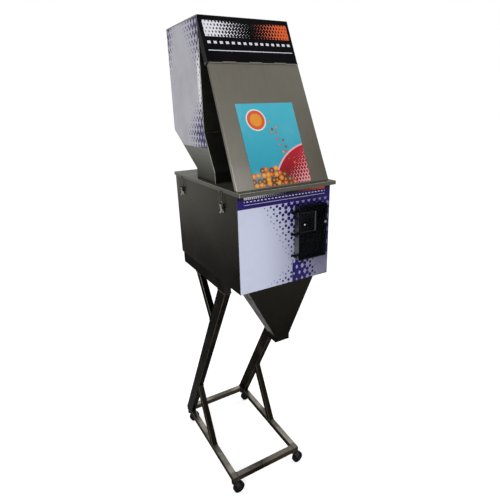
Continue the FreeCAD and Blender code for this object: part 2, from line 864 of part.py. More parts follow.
def picture_panel():
    """Thin picture sheet on the lower part of the cover."""
    y1 = slope_length - picture_foot_gap
    sheet_box = box(picture_offset - picture_width / 2, picture_offset + picture_width / 2,
                    y1 - picture_height, y1, -picture_sheet, 0)
    return on_slope(sheet_box)


def tray_plan(wall, mouth_y):
    """Plan of the tray: full width under the neck, drawn in towards its mouth."""
    wide = panel_x - sheet - tray_side_gap - wall
    narrow = tray_mouth_width / 2 - wall
    back = neck_back + tray_back_gap - wall
    return [(-wide, back), (-wide, tray_taper_start), (-narrow, mouth_y),
            (narrow, mouth_y), (wide, tray_taper_start), (wide, back)]


def spring_tops():
    """Y of the upper ends of the two leaf springs."""
    return (spring_front, spring_front + spring_pitch)


def feeder_tray():
    """Vibrating tray, open at its mouth, on a stiff bracket that holds the springs."""
    tray = prism_z(tray_plan(0.0, tray_mouth_y), tray_floor, tray_top)
    tray = tray.cut(prism_z(tray_plan(sheet, tray_mouth_y), tray_floor + sheet, tray_top))
    middle = spring_front + spring_pitch / 2
    bracket = box(-tray_bracket_width / 2, tray_bracket_width / 2, middle - tray_bracket_length / 2,
                  middle + tray_bracket_length / 2, tray_floor - tray_bracket_depth, tray_floor)
    return tray.fuse(bracket).removeSplitter()


def leaf_spring(y_top, extra, length):
    """One leaf spring whose foot leans forward; extra thickens it for clearances."""
    z_top = tray_floor - tray_bracket_depth
    spring = box(-spring_width / 2 - extra, spring_width / 2 + extra, -spring_thickness / 2 - extra,
                 spring_thickness / 2 + extra, -length, 0)
    spring.rotate(FreeCAD.Vector(0, 0, 0), x_axis, -spring_lean)
    spring.translate(FreeCAD.Vector(0, y_top, z_top))
    return spring


def feeder_springs():
    """The two leaf springs under the tray, cut level where they meet its bracket."""
    z_top = tray_floor - tray_bracket_depth
    springs = []
    for y in spring_tops():
        spring = leaf_spring(y, 0.0, spring_length)
        above = box(-spring_width, spring_width, y - spring_width, y + spring_width,
                    z_top, z_top + spring_width)
        springs.append(spring.cut(above))
    return Part.makeCompound(springs)


def spring_foot_drop():
    """Height that a spring spans."""
    return spring_length * math.cos(math.radians(spring_lean))


def spring_feet():
    """Y of the lower ends of the springs, which stand in front of the upper ends."""
    shift = spring_foot_drop() * math.tan(math.radians(spring_lean))
    return [y - shift for y in spring_tops()]


def feeder_base():
    """Heavy base on four feet, with a slotted clamp for each spring and the magnet block."""
    top = tray_floor - tray_bracket_depth - spring_foot_drop() + spring_slot_depth - clamp_height
    floor = cabinet_bottom + sheet
    front_foot, rear_foot = spring_feet()
    y0 = front_foot - clamp_length / 2 - base_margin
    y1 = rear_foot + clamp_length / 2 + base_margin
    half = base_width / 2
    plate = rounded(box(-half, half, y0, y1, top - base_plate, top), base_round, along(z_axis))
    inset = base_foot_radius + base_foot_inset
    feet = [rod_z(base_foot_radius, sx * (half - inset), y, floor, top - base_plate)
            for sx in (-1, 1) for y in (y0 + inset, y1 - inset)]
    clamp_half = spring_width / 2 + clamp_side
    clamps = [box(-clamp_half, clamp_half, y - clamp_length / 2, y + clamp_length / 2,
                  top, top + clamp_height) for y in (front_foot, rear_foot)]
    middle = (sum(spring_feet()) + sum(spring_tops())) / 4
    magnet_top = tray_floor - tray_bracket_depth - magnet_gap
    magnet = box(-magnet_width / 2, magnet_width / 2, middle - magnet_length / 2, middle + magnet_length / 2,
                 top, magnet_top)
    magnet = rounded(magnet, magnet_round, along(z_axis))
    bolts = [rod_y(clamp_bolt_radius, side * clamp_bolt_offset, y - clamp_length / 2 - clamp_bolt_head,
                   y - clamp_length / 2, top + clamp_height / 2)
             for side in (-1, 1) for y in (front_foot, rear_foot)]
    base = plate.fuse(feet + clamps + bolts + [magnet]).removeSplitter()
    for y in spring_tops():
        base = base.cut(leaf_spring(y, tray_throw + seat_gap, spring_length + seat_gap))
    return base


def bucket_profile(wall):
    """Side profile of the bucket, straight above and drawn in to its mouth below."""
    front = bucket_back - bucket_depth + wall
    back = bucket_back - wall
    bend = bucket_top - bucket_straight
    mouth_front = bucket_middle - bucket_mouth / 2 + wall
    mouth_back = bucket_mouth_back - wall
    return [(front, bucket_top), (front, bend), (mouth_front, bucket_bottom),
            (mouth_back, bucket_bottom), (back, bend), (back, bucket_top)]


def weigh_bucket():
    """Weigh bucket with hinge lugs for its flap."""
    half = bucket_width / 2
    outer = prism_x(bucket_profile(0.0), -half, half)
    inner = prism_x(bucket_profile(sheet), -half + sheet, half - sheet)
    bucket = outer.cut(inner)
    lugs = []
    for sign in (-1, 1):
        x0, x1 = sorted((sign * (half - 2 * sheet), sign * half))
        root = bucket_mouth_back - 2 * flap_barrel_radius
        lug = prism_x([(root, bucket_bottom + flap_lug_height),
                       (flap_axis_y + flap_barrel_radius, bucket_bottom + flap_lug_height),
                       (flap_axis_y + flap_barrel_radius, flap_axis_z),
                       (flap_axis_y - flap_barrel_radius, flap_axis_z),
                       (root, bucket_bottom)], x0, x1)
        lug = lug.fuse(rod_x(flap_barrel_radius, x0, x1, flap_axis_y, flap_axis_z))
        lugs.append(lug)
    bucket = bucket.fuse(lugs).removeSplitter()
    return bucket.cut(rod_x(flap_pin_radius + fit_gap, -half, half, flap_axis_y, flap_axis_z))


def bucket_flap():
    """Flap that closes the mouth of the bucket and swings down about its rear edge."""
    half = bucket_width / 2
    inner_half = half - 2 * sheet - seat_gap
    front = bucket_middle - bucket_mouth / 2 - flap_lip
    top = bucket_bottom - seat_gap
    lug_root = bucket_mouth_back - 2 * flap_barrel_radius
    plate = box(-half, half, front, lug_root - flap_lug_gap, top - sheet, top)
    tongue = box(-inner_half, inner_half, lug_root - flap_lug_gap, flap_axis_y, top - sheet, top)
    barrel = rod_x(flap_barrel_radius, -inner_half, inner_half, flap_axis_y, flap_axis_z)
    pin = rod_x(flap_pin_radius, -half, half, flap_axis_y, flap_axis_z)
    web = box(-inner_half, inner_half, flap_axis_y - flap_barrel_radius, flap_axis_y,
              top - sheet, flap_axis_z)
    flap = plate.fuse([tongue, barrel, pin, web]).removeSplitter()
    over = box(-half, half, lug_root, flap_axis_y + flap_barrel_radius + flap_lug_gap, top, bucket_top)
    return flap.cut(over.cut(rod_x(flap_barrel_radius, -half, half, flap_axis_y, flap_axis_z)))


def load_cell():
    """Bending-beam load cell between a bracket on the right side panel and the bucket."""
    middle = bucket_back - bucket_depth / 2
    top = bucket_top - load_cell_drop + load_cell_size / 2
    bottom = top - load_cell_size
    inside = panel_x - sheet
    bracket = box(inside - cell_bracket_sheet, inside, middle - cell_bracket_width / 2,
                  middle + cell_bracket_width / 2, (top + bottom - cell_bracket_height) / 2,
                  (top + bottom + cell_bracket_height) / 2)
    hanger_x = bucket_width / 2
    hanger = box(hanger_x, hanger_x + hanger_sheet, middle - load_cell_size, middle + load_cell_size,
                 bottom - hanger_margin, top + hanger_margin)
    beam = box(hanger_x + hanger_sheet, inside - cell_bracket_sheet, middle - load_cell_size / 2,
               middle + load_cell_size / 2, bottom, top)
    centre = (hanger_x + hanger_sheet + inside - cell_bracket_sheet) / 2
    reach = cell_window_length / 2 - cell_hole_radius
    z = (top + bottom) / 2
    front = middle - load_cell_size / 2
    back = middle + load_cell_size / 2
    holes = [rod_y(cell_hole_radius, centre + side * reach, front, back, z) for side in (-1, 1)]
    slit = box(centre - reach, centre + reach, front, back, z - cell_slit / 2, z + cell_slit / 2)
    beam = beam.cut(holes[0].fuse([holes[1], slit]))
    return Part.makeCompound([bracket, beam, hanger])


def discharge_chute():
    """Flat chute under the cabinet: upright front, three sloping walls, collar and flanges."""
    top = chute_rectangle(chute_top_width, chute_top_depth)
    mouth = chute_rectangle(chute_mouth_width, chute_mouth_depth)
    bend = chute_bottom + chute_collar
    outer = frustum(mouth, bend, top, cabinet_bottom)
    inner = frustum(shrunk(mouth, sheet), bend, shrunk(top, sheet), cabinet_bottom)
    shell = outer.cut(inner)
    x0, x1, y0, y1 = mouth
    collar = box(x0, x1, y0, y1, chute_bottom, bend)
    x2, x3, y2, y3 = shrunk(mouth, sheet)
    collar = collar.cut(box(x2, x3, y2, y3, chute_bottom, bend))
    x0, x1, y0, y1 = top
    under = cabinet_bottom - sheet
    flanges = [box(x0, x1, y0 - chute_flange, y0, under, cabinet_bottom),
               box(x0, x1, y1 - sheet, y1 + chute_flange, under, cabinet_bottom)]
    chute = shell.fuse([collar] + flanges)
    return chute.cut(inner).removeSplitter()


def control_box():
    """Steel control box, open at the front, screwed to the front panel."""
    x1 = box_left + box_width
    z1 = box_bottom + box_height
    outer = rounded(box(box_left, x1, box_front, -panel_y, box_bottom, z1), fold_round, along(y_axis))
    inner = box(box_left + sheet, x1 - sheet, box_front, -panel_y - sheet, box_bottom + sheet, z1 - sheet)
    shell = outer.cut(inner)
    hole_x = box_left + box_width / 2
    hole_z = box_bottom + box_height / 4
    shell = shell.cut(rod_y(cable_hole_radius, hole_x, -panel_y - sheet, -panel_y, hole_z))
    post_front = -panel_y - plate_depth + plate_sheet
    posts = [rod_y(plate_post_radius, x, post_front, -panel_y - sheet, z)
             for x in (box_left + plate_post_inset, x1 - plate_post_inset)
             for z in (box_bottom + plate_post_inset, z1 - plate_post_inset)]
    return shell.fuse(posts)


def hinge_levels():
    """Centres of the three door hinges."""
    low = box_bottom + hinge_end_gap + door_knuckle
    high = box_bottom + box_height - hinge_end_gap - door_knuckle
    return (low, (low + high) / 2, high)


def door_hinges():
    """Fixed hinge halves on the front panel: leaf, web, lower knuckle and pin."""
    hinges = []
    for z in hinge_levels():
        low = z - door_knuckle
        leaf = box(door_axis_x - hinge_leaf_length, door_axis_x, -panel_y - hinge_leaf_sheet, -panel_y,
                   low, z)
        web = box(door_axis_x - hinge_leaf_sheet, door_axis_x, door_axis_y, -panel_y, low, z)
        knuckle = rod_z(door_barrel_radius, door_axis_x, door_axis_y, low, z)
        pin = rod_z(door_pin_radius, door_axis_x, door_axis_y, z, z + door_knuckle)
        hinges.append(leaf.fuse([web, knuckle, pin]).removeSplitter())
    return Part.makeCompound(hinges)


def control_door():
    """Smoked door with its upper hinge knuckles and the hole for its pull knob."""
    x1 = box_left + box_width
    z1 = box_bottom + box_height
    y0 = door_back - door_sheet
    door = rounded(box(box_left, x1, y0, door_back, box_bottom, z1), fold_round, along(y_axis))
    for z in hinge_levels():
        low = z + seat_gap
        high = z + door_knuckle
        knuckle = rod_z(door_barrel_radius, door_axis_x, door_axis_y, low, high)
        arm = box(door_axis_x, box_left, y0, door_back, low, high)
        link = box(door_axis_x, door_axis_x + door_barrel_radius, y0, door_axis_y, low, high)
        door = door.fuse([knuckle, arm, link])
        door = door.cut(rod_z(door_pin_radius + fit_gap, door_axis_x, door_axis_y, low, high))
    x, z = knob_place()
    return door.removeSplitter().cut(rod_y(knob_shaft_radius, x, y0, door_back, z))


def knob_place():
    """X and Z of the door's pull knob."""
    return box_left + box_width - knob_edge_gap, box_bottom + knob_height


def door_knob():
    """Turned pull knob with its shaft through the door and a nut behind it."""
    x, z = knob_place()
    front = door_back - door_sheet
    shaft = rod_y(knob_shaft_radius, x, front, door_back, z)
    nut = rod_y(knob_nut_radius, x, door_back, door_back + knob_nut_height, z)
    neck = rod_y(knob_neck_radius, x, front - knob_neck_length, front, z)
    head = rod_y(knob_radius, x, front - knob_length, front - knob_neck_length, z)
    head = rounded(head, knob_round, lambda edge: edge.Curve.TypeId == "Part::GeomCircle")
    return head.fuse([neck, shaft, nut]).removeSplitter()


def key_places():
    """X and Z of the three keys."""
    return [(box_left + key_first + index * key_pitch, box_bottom + key_height) for index in range(3)]


def control_plate():
    """Face plate of the controller with the display rim, key holes and rocker window."""
    gap = seat_gap
    x0 = box_left + sheet + gap
    x1 = box_left + box_width - sheet - gap
    z0 = box_bottom + sheet + gap
    z1 = box_bottom + box_height - sheet - gap
    front = -panel_y - plate_depth
    back = front + plate_sheet
    plate = box(x0, x1, front, back, z0, z1)
    dx = box_left + display_left
    dz = box_bottom + display_bottom
    rim = box(dx, dx + display_width, front - display_proud, front, dz, dz + display_height)
    rim = rim.cut(box(dx + display_rim, dx + display_width - display_rim, front - display_proud, front,
                      dz + display_rim, dz + display_height - display_rim))
    plate = plate.fuse(rim)
    for x, z in key_places():
        plate = plate.cut(rod_y(key_radius + seat_gap, x, front, back, z))
    rx, rz = rocker_place()
    half_x = rocker_width / 2 + rocker_gap
    half_z = rocker_height / 2 + 2 * rocker_gap
    return plate.cut(box(rx - half_x, rx + half_x, front, back, rz - half_z, rz + half_z)).removeSplitter()


def push_key(x, z):
    """Push key with a flange behind the face plate."""
    front = -panel_y - plate_depth
    back = front + plate_sheet
    cap = rod_y(key_radius, x, front - key_proud, back + fit_gap, z)
    cap = rounded(cap, key_round, lambda edge: edge.BoundBox.YMax < front - key_proud / 2)
    flange = rod_y(key_radius + key_flange, x, back + fit_gap, back + fit_gap + key_flange_sheet, z)
    return cap.fuse(flange).removeSplitter()


def rocker_place():
    """X and Z of the rocker switch."""
    return box_left + rocker_left, box_bottom + rocker_level


def power_switch():
    """Rocker of the power switch, resting on its off side."""
    x, z = rocker_place()
    y = rocker_axis_y
    half = rocker_height / 2
    crest = y - rocker_depth / 2
    foot = y + rocker_skirt
    profile = [(crest, z - half), (crest + rocker_dip, z), (crest, z + half),
               (foot, z + half), (foot, z - half)]
    rocker = prism_x(profile, x - rocker_width / 2, x + rocker_width / 2)
    reach = rocker_width / 2 + rocker_gap + rocker_pin_reach
    pin_y = y + rocker_pin_depth
    rocker = rocker.fuse(rod_x(rocker_pin_radius, x - reach, x + reach, pin_y, z))
    rocker.rotate(FreeCAD.Vector(x, pin_y, z), x_axis, -rocker_swing / 2)
    return rocker


def latch_base(y):
    """Riveted plate of a draw latch on the left side panel, with two ears and the lever pin."""
    wall = -panel_x
    axis_x = -latch_pivot_x
    plate_top = latch_pivot_z + latch_ear_height / 2 + latch_base_above
    half = latch_width / 2
    plate = box(wall - sheet, wall, y - half, y + half, plate_top - latch_base_height, plate_top)
    plate = rounded(plate, latch_base_round, along(x_axis))
    ear_out = axis_x - latch_barrel_radius
    pieces = []
    for side in (-1, 1):
        pieces.append(box(ear_out, wall - sheet, y + side * (half - sheet), y + side * half,
                          latch_pivot_z - latch_ear_height / 2, latch_pivot_z + latch_ear_height / 2))
    pin = rod_y(latch_pin_radius, axis_x, y - half, y + half, latch_pivot_z)
    return plate.fuse(pieces + [pin]).removeSplitter()


def latch_lever(y):
    """Curled lever of a draw latch, with the cross pin that pulls the loop."""
    axis_x = -latch_pivot_x
    z = latch_pivot_z
    half = lever_sheet / 2
    width = lever_width / 2
    bend = lever_length - lever_bend
    points = [(half, 0), (-half, 0), (-half, -bend), (-lever_curl, -bend - lever_curl),
              (-lever_curl + lever_tip, -bend - lever_curl - lever_tip), (half, -lever_length)]
    face = outline([FreeCAD.Vector(axis_x + out, y - width, z + up) for out, up in points])
    arm = face.extrude(FreeCAD.Vector(0, lever_width, 0))
    barrel = rod_y(latch_barrel_radius, axis_x, y - width, y + width, z)
    boss = rod_y(loop_eye_radius, axis_x, y - width, y + width, loop_pivot_z)
    reach = loop_half_width + loop_wire
    cross = rod_y(loop_wire, axis_x, y - reach, y + reach, loop_pivot_z)
    lever = arm.fuse([barrel, boss, cross]).removeSplitter()
    return lever.cut(rod_y(latch_pin_radius + fit_gap, axis_x, y - width, y + width, z))


def latch_loop(y):
    """Wire loop of a draw latch, from the lever's cross pin over the keeper on the lid."""
    axis_x = -latch_pivot_x
    bar_z = keeper_top + seat_gap + loop_wire
    pieces = [rod_y(loop_wire, axis_x, y - loop_half_width, y + loop_half_width, bar_z)]
    for side in (-1, 1):
        leg_y = y + side * loop_half_width
        pieces.append(rod_z(loop_wire, axis_x, leg_y, loop_pivot_z + loop_eye_radius - loop_eye_sink, bar_z))
        pieces.append(Part.makeSphere(loop_wire, FreeCAD.Vector(axis_x, leg_y, bar_z)))
        pieces.append(rod_y(loop_eye_radius, axis_x, leg_y - loop_wire, leg_y + loop_wire, loop_pivot_z))
    loop = pieces[0].fuse(pieces[1:]).removeSplitter()
    reach = loop_half_width + 2 * loop_wire
    return loop.cut(rod_y(loop_wire + fit_gap, axis_x, y - reach, y + reach, loop_pivot_z))


def power_inlet():
    """Mains inlet in the back panel: flange, body, recess and three blades."""
    z0 = cabinet_bottom + inlet_rise
    z1 = z0 + inlet_height
    x0 = inlet_x - inlet_width / 2
    x1 = inlet_x + inlet_width / 2
    face = panel_y + inlet_flange_sheet
    floor = face - socket_depth
    body = box(x0, x1, panel_y - inlet_depth, panel_y, z0, z1)
    flange = box(x0 - inlet_flange, x1 + inlet_flange, panel_y, face, z0 - inlet_flange, z1 + inlet_flange)
    flange = rounded(flange, inlet_round, along(y_axis))
    inlet = body.fuse(flange)
    z = (z0 + z1) / 2
    inlet = inlet.cut(box(inlet_x - socket_width / 2, inlet_x + socket_width / 2, floor, face,
                          z - socket_height / 2, z + socket_height / 2))
    blades = []
    for index in (-1, 0, 1):
        x = inlet_x + index * blade_pitch
        low = z + (blade_rise if index == 0 else -blade_drop) - blade_height / 2
        blades.append(box(x - blade_width / 2, x + blade_width / 2, floor - blade_root,
                          panel_y - blade_recess, low, low + blade_height))
    return inlet.fuse(blades).removeSplitter()


def stand_nodes():
    """Tubes of the stand and everything welded or pushed into them."""
    nodes = {}
    for side in ("left", "right"):
        nodes["foot_rail_" + side] = foot_rail(side)
        nodes["leg_" + side] = leg(side)
        nodes["top_rail_" + side] = top_rail(side)
    front, rear = caster_rows()
    nodes["foot_bar_front"] = foot_bar(front)
    nodes["foot_bar_rear"] = foot_bar(rear)
    nodes["lower_braces"] = Part.makeCompound([lower_brace("left"), lower_brace("right")])
    nodes["upper_braces"] = Part.makeCompound([upper_brace("left"), upper_brace("right")])
    nodes["top_cross_bars"] = top_cross_bars()
    nodes["rail_plugs"] = rail_plugs()
    return nodes


def caster_nodes():
    """Stems, swivel forks and wheels of the four casters."""
    nodes = {"caster_stems": Part.makeCompound([caster_stem(x, y) for x, y in caster_spots().values()])}
    for corner, (x, y) in caster_spots().items():
        nodes["caster_fork_" + corner] = caster_fork(x, y)
        nodes["caster_wheel_" + corner] = caster_wheel(x, y)
    return nodes


def cabinet_nodes():
    """Cabinet panels, lid, chute and power inlet."""
    return {"cabinet_side_left": side_panel(),
            "cabinet_side_right": mirrored(side_panel()),
            "cabinet_front": front_panel(),
            "cabinet_back": back_panel(),
            "cabinet_floor": cabinet_floor(),
            "cabinet_lid": cabinet_lid(),
            "discharge_chute": discharge_chute(),
            "power_inlet": power_inlet()}


def hopper_nodes():
    """Hopper, its lid and gate, and the sloping front."""
    return {"hopper_box": hopper_box(),
            "hopper_funnel": hopper_funnel(),
            "hopper_lid": hopper_lid(),
            "flow_gate": flow_gate(),
            "header_panel": header_panel(),
            "front_cover": front_cover(),
            "picture_panel": picture_panel()}


def feeder_nodes():
    """Vibrating feeder and weighing parts inside the cabinet."""
    return {"feeder_tray": feeder_tray(),
            "feeder_springs": feeder_springs(),
            "feeder_base": feeder_base(),
            "weigh_bucket": weigh_bucket(),
            "bucket_flap": bucket_flap(),
            "load_cell": load_cell()}


def control_nodes():
    """Control box with its door and everything the operator touches."""
    nodes = {"control_box": control_box(),
             "control_door": control_door(),
             "door_knob": door_knob(),
             "door_hinges": door_hinges(),
             "control_plate": control_plate(),
             "power_switch": power_switch()}
    for name, (x, z) in zip(("set", "down", "up"), key_places()):
        nodes["key_" + name] = push_key(x, z)
    return nodes


def latch_nodes():
    """Two draw latches on each side of the cabinet."""
    nodes = {}
    bases = []
    for row, y in (("front", latch_front), ("rear", latch_rear)):
        for side, turn in (("left", None), ("right", mirrored)):
            pieces = [latch_base(y), latch_lever(y), latch_loop(y)]
            if turn:
                pieces = [turn(piece) for piece in pieces]
            bases.append(pieces[0])
            nodes["latch_lever_" + row + "_" + side] = pieces[1]
            nodes["latch_loop_" + row + "_" + side] = pieces[2]
    nodes["latch_bases"] = Part.makeCompound(bases)
    return nodes


def all_nodes():
    """Every node of the machine, with y = 0 in the middle of the cabinet."""
    nodes = {}
    for group in (stand_nodes, caster_nodes, cabinet_nodes, hopper_nodes, feeder_nodes, control_nodes,
                  latch_nodes):
        nodes.update(group())
    return nodes


def origin_shift(nodes):
    """Y move that brings the middle of the bounding box to the origin."""
    boxes = [shape.BoundBox for shape in nodes.values()]
    front = min(bound.YMin for bound in boxes)
    back = max(bound.YMax for bound in boxes)
    return -(front + back) / 2


def main():
    """Build, place and export every node."""
    os.makedirs("parts", exist_ok=True)
    nodes = all_nodes()
    shift = origin_shift(nodes)
    for name, shape in nodes.items():
        shape.translate(FreeCAD.Vector(0, shift, 0))
        shape.exportStep("parts/" + name + ".step")
    print("nodes", len(nodes), "shift", round(shift, 4))


main()
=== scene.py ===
"""Looks of the granule filling machine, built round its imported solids. Metres, in the row frame."""

import json
import math
import random

import bpy
import bmesh
from mathutils import Matrix, Quaternion, Vector


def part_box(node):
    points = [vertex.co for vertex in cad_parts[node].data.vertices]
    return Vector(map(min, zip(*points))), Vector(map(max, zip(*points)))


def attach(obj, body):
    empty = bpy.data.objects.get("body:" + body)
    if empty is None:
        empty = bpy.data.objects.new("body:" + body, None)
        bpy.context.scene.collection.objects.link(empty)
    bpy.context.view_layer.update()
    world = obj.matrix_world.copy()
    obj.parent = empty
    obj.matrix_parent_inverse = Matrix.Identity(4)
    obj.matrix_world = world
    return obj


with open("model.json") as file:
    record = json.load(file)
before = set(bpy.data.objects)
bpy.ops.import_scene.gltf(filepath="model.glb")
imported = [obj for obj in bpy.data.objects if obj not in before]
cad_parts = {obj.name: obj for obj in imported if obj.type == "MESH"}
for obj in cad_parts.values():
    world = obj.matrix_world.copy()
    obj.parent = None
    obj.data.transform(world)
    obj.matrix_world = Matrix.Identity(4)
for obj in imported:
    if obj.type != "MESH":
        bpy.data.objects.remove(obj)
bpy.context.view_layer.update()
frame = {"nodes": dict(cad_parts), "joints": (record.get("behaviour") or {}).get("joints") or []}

MM = 0.001

# Places of the cabinet's front, the hopper and the control box, which the prints and small parts follow
front_low, front_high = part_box("cabinet_front")
hopper_low, hopper_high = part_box("hopper_box")
control_low, control_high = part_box("control_box")
picture_low, picture_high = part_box("picture_panel")

# Length along the sloping cover for each metre of height
PICTURE_RISE = picture_high.z - picture_low.z
STEEP = math.hypot(picture_high.y - picture_low.y, PICTURE_RISE) / PICTURE_RISE

# Camera of the photograph, which is 500 pixels square: metres left and ahead of the middle of the cabinet's
# front, metres above the floor, and degrees
CAMERA_LEFT = 0.6951
CAMERA_AHEAD = 1.0106
CAMERA_HEIGHT = 1.5478
CAMERA_YAW = -29.124
CAMERA_PITCH = 19.618
CAMERA_ROLL = -1.678
FOCAL_PIXELS = 407.32
FRAME_PIXELS = 500
SENSOR_WIDTH = 36.0
CLIP_START = 0.05
CLIP_END = 100.0

# Steel sheet of the cabinet, the latches and the flow gate
SHEET = 1.5 * MM

# Films: thickness, rounded corners, and the steel left bare round them
FILM = 0.3 * MM
FILM_CORNER = 1.5 * MM
FRONT_FILM_GAP = 0.8 * MM
HOPPER_FILM_GAP = 2.4 * MM
FILM_BELOW_BEND = 50 * MM

# The lid hinge's knuckles reach this far above and behind the hopper's walls
KNUCKLES_ABOVE = 1.3 * MM
KNUCKLES_BEHIND = 5.9 * MM

# Weld beads: rows of flattened drops
BEAD_RADIUS = 1.9 * MM
BEAD_PITCH = 2.1 * MM
BEAD_VARIES = 0.12
BEAD_FLATTENED = 0.62
SEAM_SHORT = 4 * MM

# Screws and rivets, and their places on the panels
SCREW_RADIUS = 3.2 * MM
SCREW_HEIGHT = 1.8 * MM
SMALL_SCREW_HEIGHT = 1.0 * MM
BACK_SCREW_INSET = 9 * MM
BACK_SCREW_DROP = 12 * MM
INLET_SCREW_INSET = 3.4 * MM
CHUTE_SCREWS_ACROSS = (-0.11, -0.04, 0.04, 0.11)
CHUTE_SCREW_INSET = 6 * MM
RIVET_RADIUS = 1.8 * MM
RIVET_ABOVE_FOOT = 4.0 * MM
RIVET_BELOW_TOP = 2.0 * MM

# Profiles of turned parts, in shares of their radius and height; the lamp's is in millimetres
SCREW_HEAD = ((1, 0), (1, 0.35), (0.9, 0.7), (0.62, 1))
RIVET_HEAD = ((1, 0), (0.97, 0.25), (0.75, 0.5), (0.38, 0.62), (0.34, 0.35))
WASHER = ((1.35, 0), (1.35, 0.2))
NUT = ((1, 0), (1.08, 0.12), (1.08, 0.88), (1, 1))
STUD_END = ((0.52, 0), (0.52, 1.25), (0.42, 1.4))
ROD = ((1, 0), (1, 1))
LAMP = ((2.4, 0), (2.4, 0.8), (1.7, 1.6), (0.7, 2.0))

# Display on the controller's plate, from the control box's lower left corner, and the indicator on it
DISPLAY_ACROSS = 12.5 * MM
DISPLAY_UP = 86.5 * MM
DISPLAY_WIDTH = 64 * MM
DISPLAY_HEIGHT = 65 * MM
DISPLAY_RIM = 3.0 * MM
GLASS = 1.2 * MM
LAMP_ACROSS = 18.0 * MM
LAMP_UP = 26.0 * MM

# Door hinges: the top leaf's middle below their top, what both end leaves take, and a leaf's screw and face
HINGE_END = 12 * MM
HINGE_ENDS = 16 * MM
LEAF_SCREW_ACROSS = 4.5 * MM
LEAF_FACE = 2.0 * MM

# Axle nuts: distance from the wheel's middle, radius and height
AXLE_REACH = 12.3 * MM
AXLE_NUT_RADIUS = 4.2 * MM
AXLE_NUT_HEIGHT = 1.85 * MM

# Wing nuts of the flow gate, and the bolts of the load cell and the feeder
GATE_NUT_DROP = 12.5 * MM
GATE_NUT_SHARE = 0.7
GATE_NUT_GAP = 0.1 * MM
CELL_BOLT_ACROSS = 20 * MM
CELL_BOLT_UP = 28 * MM
CELL_BOLT_INSET = 6 * MM
BASE_BOLT_INSET = (12 * MM, 40 * MM)

# Printed honeycomb of dots: column pitch, row period, half a pair's spacing, and one dot of the front film
DOT_PITCH = 21.9 * MM
DOT_PERIOD = 44.1 * MM
DOT_PAIR = 6.95 * MM
DOT_ACROSS = -2.0 * MM
DOT_UP = front_high.z - 72.9 * MM
BAND_BOTTOM = front_high.z - 51.5 * MM

# Half the width of the row motif on the header and the band
MOTIF_REACH = 0.15

# Ink and paper of the front film
INK = "#1C0B5A"
FILM_WHITE = "#C6CADF"

# Studio: half the floor's side, its colour, the lift where it is seen, and the world's light on surfaces
FLOOR_HALF = 30.0
FLOOR_COLOUR = (0.8, 0.8, 0.8, 1.0)
WHITE = (1.0, 1.0, 1.0, 1.0)
FLOOR_LIFT = 0.55
WORLD_LEVEL = 0.62


def linear(code):
    """Linear colour of an sRGB hex code, with alpha 1."""
    values = [int(code[i:i + 2], 16) / 255 for i in (1, 3, 5)]
    return tuple(v / 12.92 if v <= 0.04045 else ((v + 0.055) / 1.055) ** 2.4 for v in values) + (1.0,)


